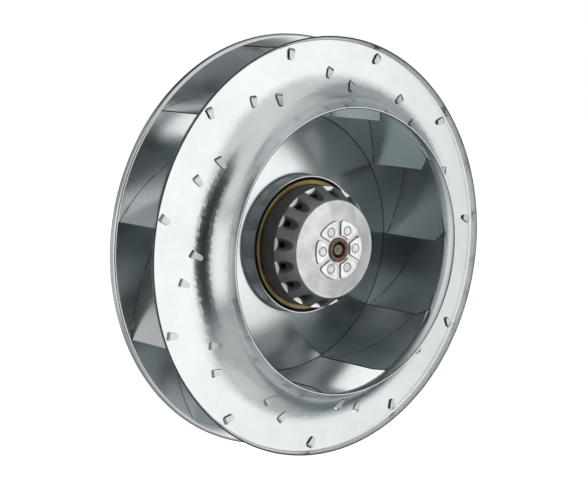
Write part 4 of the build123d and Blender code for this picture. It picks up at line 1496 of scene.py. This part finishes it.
def galvanised_sheet(name, seed, tone, rough=0.22, crease=None, inner_shade=None, lip=None):
    """Bright galvanised steel: metallic, with clouds and faint crystals in its roughness and
    colour. Painted shade darkens it on a narrow ring where a crease's radius is given, towards
    the axis where an inner shade is given, which also makes it rougher there, and at the rim's
    lip where a lip is given."""
    coat = Coat(name, zinc_bloom(), Seed=seed)
    tree = coat.tree
    clouds, crystals = coat.pattern
    base = coat.tones(clouds, (0.3, 0.7), tone, 0.94, 1.04)
    speck = between(tree, crystals, 0.0, 1.0, 0.98, 1.015)
    roughness = between(tree, clouds, 0.25, 0.75, rough - 0.025, rough + 0.025)
    radius = axis_distance(tree, coat.where) if crease or inner_shade or lip else None
    # Painted shade: a narrow darker ring at the crease.
    if crease:
        off = sums(tree, "ABSOLUTE", sums(tree, "SUBTRACT", radius, crease))
        speck = sums(tree, "MULTIPLY", speck, between(tree, off, *CREASE_SHADE, 1.0))
    if inner_shade:
        # Painted shade towards the axis; the added roughness is the sheet's own finish.
        outer_share = between(tree, radius, inner_shade["inside"], inner_shade["outside"])
        kept = mixed(tree, outer_share, inner_shade["kept"], (1, 1, 1, 1))
        base = mixed(tree, 1.0, base, kept, "MULTIPLY")
        rougher = between(tree, outer_share, 0.0, 1.0, inner_shade["rougher"], 0.0)
        roughness = sums(tree, "ADD", roughness, rougher)
    if lip:
        # Painted shade: the lip darker towards the rim.
        dull = between(tree, radius, lip["inside"], lip["outside"], 1.0, lip["kept"])
        speck = sums(tree, "MULTIPLY", speck, dull)
    return coat.done(scaled(tree, base, speck), roughness, 1.0, crystals, 0.006, 0.0002)


def cut_edge():
    """The bare steel of a sheared edge or a punched slot, rougher than the zinc. Its near-black
    tone is partly the steel's own and partly painted shade, which draws the dark lines along slots,
    tabs, the blades' feet and the rim.
    """
    found = bpy.data.materials.get("Cut edge")
    if found:
        return found
    coat = Coat("Cut edge", cast_grain(), Grain_Scale=2400.0, Patch_Scale=300.0)
    height, patches = coat.pattern
    tone = bpy.context.scene.fan_colours.cut
    base = coat.tones(patches, (0.35, 0.7), tone, 1.0, 1.8)
    roughness = between(coat.tree, patches, 0.3, 0.7, 0.55, 0.42)
    return coat.done(base, roughness, 0.9, height, 0.2, 0.0001)


def cast_aluminium(name, tone, shade=None):
    """Die-cast aluminium: grainy, uneven and rather rough. The piece may carry its own shading as
    an attribute."""
    coat = Coat(name, cast_grain())
    height, patches = coat.pattern
    base = coat.tones(patches, (0.35, 0.7), tone, 0.84, 1.12)
    if shade:
        own = put(coat.tree, "ShaderNodeAttribute", attribute_name=shade).outputs["Fac"]
        base = scaled(coat.tree, base, own)
    roughness = between(coat.tree, patches, 0.3, 0.7, 0.52, 0.38)
    return coat.done(base, roughness, 0.9, height, 0.35, 0.0003)


def passivated_steel(name, tone):
    """Yellow-passivated steel: a gold film, uneven from green brown to straw."""
    coat = Coat(name, zinc_bloom(), Cloud_Scale=60.0, Crystal_Scale=300.0, Seed=2.0)
    lines = coat.add_group(fine_lines(), Across=2500.0, Along=14.0, Seed=5.0)[0]
    olive, straw = (0.6, 0.66, 0.62), (1.35, 1.3, 1.35)
    base = coat.tones(coat.pattern[0], (0.3, 0.7), tone, olive, straw)
    roughness = between(coat.tree, lines, 0.3, 0.7, 0.28, 0.42)
    return coat.done(base, roughness, 1.0, lines, 0.15, 0.0002)


def turned_steel(name, tone, dark_from=None):
    """Steel with the fine rings of a lathe, nearly black beyond a radius if one is given."""
    coat = Coat(name, fine_lines(), Across=5200.0, Along=3.0)
    lines = coat.pattern[0]
    base = coat.tones(lines, (0.3, 0.7), tone, 0.7, 1.2)
    if dark_from:
        radius = axis_distance(coat.tree, coat.where)
        kept = between(coat.tree, radius, dark_from, dark_from + 0.3 * MILLIMETRE, 1.0, 0.06)
        base = scaled(coat.tree, base, kept)
    roughness = between(coat.tree, lines, 0.3, 0.7, 0.26, 0.4)
    return coat.done(base, roughness, 1.0, lines, 0.2, 0.0001)


def brown_bush(name, tone):
    """The dull brown bush, with paler scuffs."""
    coat = Coat(name, cast_grain(), Grain_Scale=2600.0, Patch_Scale=240.0)
    height, patches = coat.pattern
    base = coat.tones(patches, (0.4, 0.75), tone, 1.0, 2.3)
    roughness = between(coat.tree, patches, 0.3, 0.7, 0.55, 0.4)
    return coat.done(base, roughness, 0.25, height, 0.2, 0.0002)


def moulded_plastic(name, tone, rough):
    """Moulded plastic or rubber with a faint grain."""
    coat = Coat(name, cast_grain(), Grain_Scale=1800.0, Patch_Scale=120.0)
    height, patches = coat.pattern
    base = coat.tones(patches, (0.35, 0.7), tone, 1.0, 1.5)
    roughness = between(coat.tree, patches, 0.3, 0.7, rough, rough - 0.1)
    return coat.done(base, roughness, 0.0, height, 0.12, 0.0002)


def laminated_steel(name, tone):
    """A stack of sheets: dark bands that repeat along the axis."""
    coat = Coat(name, None)
    tree = coat.tree
    split = put(tree, "ShaderNodeSeparateXYZ", {0: coat.where})
    along = put(tree, "ShaderNodeCombineXYZ", {0: split.outputs[1]}).outputs[0]
    values = {"Vector": along, "Scale": 320.0, "Distortion": 0.3}
    band = put(tree, "ShaderNodeTexWave", values).outputs[1]
    base = mixed(tree, band, toned(tone, 0.45), toned(tone, 1.3))
    return coat.done(base, between(tree, band, 0.0, 1.0, 0.62, 0.42), 0.85, band, 0.3, 0.0002)


def wound_copper(name, tone):
    """Varnished wire: fine lines round the axis."""
    coat = Coat(name, fine_lines(), Across=1500.0, Along=20.0)
    lines = coat.pattern[0]
    base = coat.tones(lines, (0.3, 0.7), tone, 0.5, 1.0)
    roughness = between(coat.tree, lines, 0.3, 0.7, 0.35, 0.25)
    return coat.done(base, roughness, 0.8, lines, 0.5, 0.0004)


# The tent's radius and middle, its steps round and up, and the level where no panel shines.
TENT_RADIUS = 4.0
CENTRE = (0, -0.08, 0)
TENT_STEPS = (360, 181)
TENT_DARK = 0.02
# Each panel's range of azimuth and of elevation in degrees, both with the width of their soft edge,
# and its strength.
TENT_PANELS = {
    "front": ((-60, 66, 26), (-41, 33, 26), 1.24),
    "left": ((-112, -45, 4), (-32, 24, 12), 1.08),
    "left gap": ((-130, -112, 3), (-38, 34, 10), 0.36),
    "left rear": ((-160, -128, 8), (-38, 14, 14), 0.56),
    "upper left rear": ((-170, -119, 10), (5, 60, 12), 0.34),
    "right": ((60, 98, 15), (-5, 60, 20), 0.41),
    "rear": ((152, 212, 10), (-65, 25, 15), 0.3),
    "ceiling": ((-119, 62, 12), (22, 130, 10), 0.78),
    "rear ceiling": ((50, 235, 25), (52, 130, 14), 0.63),
    "floor": ((-130, 60, 22), (-130, -36, 8), 0.53),
    "front floor": ((-22, 28, 12), (-75, -30, 12), 0.72),
    "rear floor": ((40, 230, 20), (-130, -44, 12), 0.2),
}
# The same for the cards that stand before the panels, with the share that they let through.
TENT_CARDS = {
    "lower card": ((-62, -4, 10), (-43, -32, 5), 0.45),
    "card": ((-61.5, -23.5, 4), (-35, 46, 6), 0.0),
}
# The tent's tint where it is dark and how bright it is where it turns white.
TENT_TINT, TINT_END = (0.72, 0.99, 1.08, 1), 0.5
# Each lamp's place, width, height and power.
LAMPS = {
    "key": ((-0.9, -1.9, 1.5), 1.2, 1.2, 22),
    "top": ((0.2, -0.4, 2.0), 1.6, 1.2, 14),
    "fill": ((1.4, -1.6, 0.4), 1.4, 1.4, 10),
}
WHITE = (1, 1, 1, 1)
FLOOR_GREY, FLOOR_GLOW, FLOOR_REACH = (0.82, 0.82, 0.82, 1), 0.72, 6.0
WORLD_LIGHT, WORLD_WHITE = 0.45, 1.0


def tent_share(azimuth, elevation, across_range, tall_range):
    """How much of a panel or card lies at directions: 1 inside, 0 outside, and soft between."""
    (left, right, side_soft), (low, high, tall_soft) = across_range, tall_range
    off = np.abs((azimuth - (left + right) / 2 + 180) % 360 - 180)
    across = off - (right - left) / 2
    tall = np.abs(elevation - (low + high) / 2) - (high - low) / 2
    beside = 1 - smooth_step(across, -side_soft, side_soft)
    return beside * (1 - smooth_step(tall, -tall_soft, tall_soft))


def tent_level(way):
    """Brightness of the tent along unit directions, whose azimuth counts from -Y towards +X. It is
    the brightest panel's over a dark ground, and cards in front of the panels keep a share of what
    is behind them."""
    azimuth = np.degrees(np.arctan2(way[:, 0], -way[:, 1]))
    elevation = np.degrees(np.arcsin(way[:, 2]))
    level = np.full(len(way), TENT_DARK)
    for across, tall, strength in TENT_PANELS.values():
        level = np.maximum(level, strength * tent_share(azimuth, elevation, across, tall))
    for across, tall, kept in TENT_CARDS.values():
        share = tent_share(azimuth, elevation, across, tall)
        level = np.maximum(level * (1 - (1 - kept) * share), TENT_DARK)
    return level


def add_object(name, data):
    """A new object in the scene."""
    made = bpy.data.objects.new(name, data)
    bpy.context.scene.collection.objects.link(made)
    return made


def add_tent():
    """A round studio tent of soft white panels on a dark ground, which only the metal's reflections
    see."""
    around, tall = TENT_STEPS
    turns = full_circle(around)
    rise = np.radians(np.linspace(-89.9, 89.9, tall))[:, None]
    out = np.cos(rise)
    way = np.stack([out * np.sin(turns), -out * np.cos(turns), np.sin(rise) * np.ones(around)], -1)
    way = way.reshape(-1, 3)
    mesh = bpy.data.meshes.new("tent")
    faces = grid_faces(tall, around, False, True).tolist()
    mesh.from_pydata(way * TENT_RADIUS + np.array(CENTRE), [], faces)
    levels = mesh.attributes.new("level", "FLOAT", "POINT").data
    levels.foreach_set("value", tent_level(way).astype(np.float32))
    tent = add_object("tent", mesh)
    material = bpy.data.materials.new("Tent")
    material.use_nodes = True
    tree = material.node_tree
    tree.nodes.clear()
    level = put(tree, "ShaderNodeAttribute", attribute_name="level").outputs["Fac"]
    tint = mixed(tree, between(tree, level, 0.0, TINT_END), TENT_TINT, WHITE)
    glow = put(tree, "ShaderNodeEmission", {"Color": tint, "Strength": level})
    put(tree, "ShaderNodeOutputMaterial", {0: glow.outputs[0]})
    mesh.materials.append(material)
    tent.visible_camera = tent.visible_shadow = False
    tent.visible_diffuse = tent.visible_transmission = False


def add_lamp(name, place, width, height, power):
    """A rectangular soft lamp turned to the fan. Metal reflects the tent in its place."""
    data = bpy.data.lights.new(name, "AREA")
    data.shape = "RECTANGLE"
    data.size, data.size_y, data.energy = width, height, power
    lamp = add_object(name, data)
    lamp.location = place
    lamp.rotation_euler = (Vector(CENTRE) - Vector(place)).to_track_quat("-Z", "Y").to_euler()
    lamp.visible_glossy = False


def add_camera(studio):
    """The camera, from its place and the ways that it looks and holds up."""
    data = bpy.data.cameras.new("camera")
    data.lens, data.sensor_width = studio.lens, 36.0
    data.clip_start, data.clip_end = 0.05, 50.0
    camera = add_object("camera", data)
    way = Vector(studio.camera_way).normalized()
    side = way.cross(Vector(studio.camera_up).normalized()).normalized()
    axes = Matrix((side, side.cross(way), -way)).transposed().to_4x4()
    camera.matrix_world = Matrix.Translation(studio.camera_place) @ axes
    bpy.context.scene.camera = camera


def white_share(tree):
    """1 for rays that come from the camera, from a reflection or through glass."""
    path = put(tree, "ShaderNodeLightPath")
    seen = sums(tree, "MAXIMUM", path.outputs["Is Camera Ray"], path.outputs["Is Glossy Ray"])
    return sums(tree, "MAXIMUM", seen, path.outputs["Is Transmission Ray"])


def add_floor(level):
    """A floor that is white to the camera."""
    mesh = bpy.data.meshes.new("floor")
    corners = [(-1, -1), (1, -1), (1, 1), (-1, 1)]
    points = [(x * FLOOR_REACH, y * FLOOR_REACH, level) for x, y in corners]
    mesh.from_pydata(points, [], [(0, 1, 2, 3)])
    floor = add_object("floor", mesh)
    material = bpy.data.materials.new("White floor")
    material.use_nodes = True
    tree = material.node_tree
    shader = tree.nodes["Principled BSDF"]
    shader.inputs["Base Color"].default_value = FLOOR_GREY
    shader.inputs["Roughness"].default_value = 0.8
    shader.inputs["Emission Color"].default_value = WHITE
    glow = sums(tree, "MULTIPLY", white_share(tree), FLOOR_GLOW)
    tree.links.new(glow, shader.inputs["Emission Strength"])
    mesh.materials.append(material)
    floor.visible_glossy = False


def add_world():
    """A world that is white to the camera and lights the object at a plain level."""
    world = bpy.data.worlds.new("studio")
    bpy.context.scene.world = world
    world.use_nodes = True
    tree = world.node_tree
    tree.nodes.clear()
    strength = between(tree, white_share(tree), 0.0, 1.0, WORLD_LIGHT, WORLD_WHITE)
    sky = put(tree, "ShaderNodeBackground", {"Color": WHITE, "Strength": strength})
    put(tree, "ShaderNodeOutputWorld", {0: sky.outputs[0]})


class FAN_OT_studio(bpy.types.Operator):
    """Set up the white studio: camera, floor, world, lamps and the tent that the metal reflects"""

    bl_idname = "fan.studio"
    bl_label = "Studio"

    def execute(self, context):
        studio = context.scene.fan_studio
        add_camera(studio)
        add_floor(studio.floor_height)
        add_world()
        for name, (place, width, height, power) in LAMPS.items():
            add_lamp(name, place, width, height, power)
        add_tent()
        context.scene.view_settings.view_transform = "Standard"
        return {"FINISHED"}


class FAN_PT_pieces(bpy.types.Panel):
    """Lists the steps that build the fan"""

    bl_label = "Plug fan"
    bl_idname = "FAN_PT_pieces"
    bl_space_type = "VIEW_3D"
    bl_region_type = "UI"
    bl_category = "Plug fan"

    def draw(self, context):
        for step in STEPS:
            self.layout.operator(step.bl_idname)
        for group in GROUPS:
            box = self.layout.box()
            box.label(text=group)
            for name in GROUPS[group].__annotations__:
                box.prop(getattr(context.scene, group), name)


STEPS = (
    FAN_OT_shroud,
    FAN_OT_back_plate,
    FAN_OT_blades,
    FAN_OT_bell,
    FAN_OT_rotor_shell,
    FAN_OT_motor,
    FAN_OT_inner_parts,
    FAN_OT_studio,
)
GROUPS = {
    "fan_discs": FanDiscSizes,
    "fan_blades": FanBladeSizes,
    "fan_rotor": FanRotorSizes,
    "fan_motor": FanMotorSizes,
    "fan_colours": FanColours,
    "fan_studio": FanStudio,
}


def register():
    for group in (*GROUPS.values(), *STEPS, FAN_PT_pieces):
        bpy.utils.register_class(group)
    for name, group in GROUPS.items():
        setattr(bpy.types.Scene, name, PointerProperty(type=group))


def unregister():
    for name in GROUPS:
        delattr(bpy.types.Scene, name)
    for group in (FAN_PT_pieces, *reversed(STEPS), *reversed(GROUPS.values())):
        bpy.utils.unregister_class(group)


def main():
    register()
    bpy.ops.fan.shroud()
    bpy.ops.fan.back_plate()
    bpy.ops.fan.blades()
    bpy.ops.fan.bell()
    bpy.ops.fan.rotor_shell()
    bpy.ops.fan.motor()
    bpy.ops.fan.inner_parts()
    bpy.ops.fan.studio()


if __name__ == "__main__":
    main()
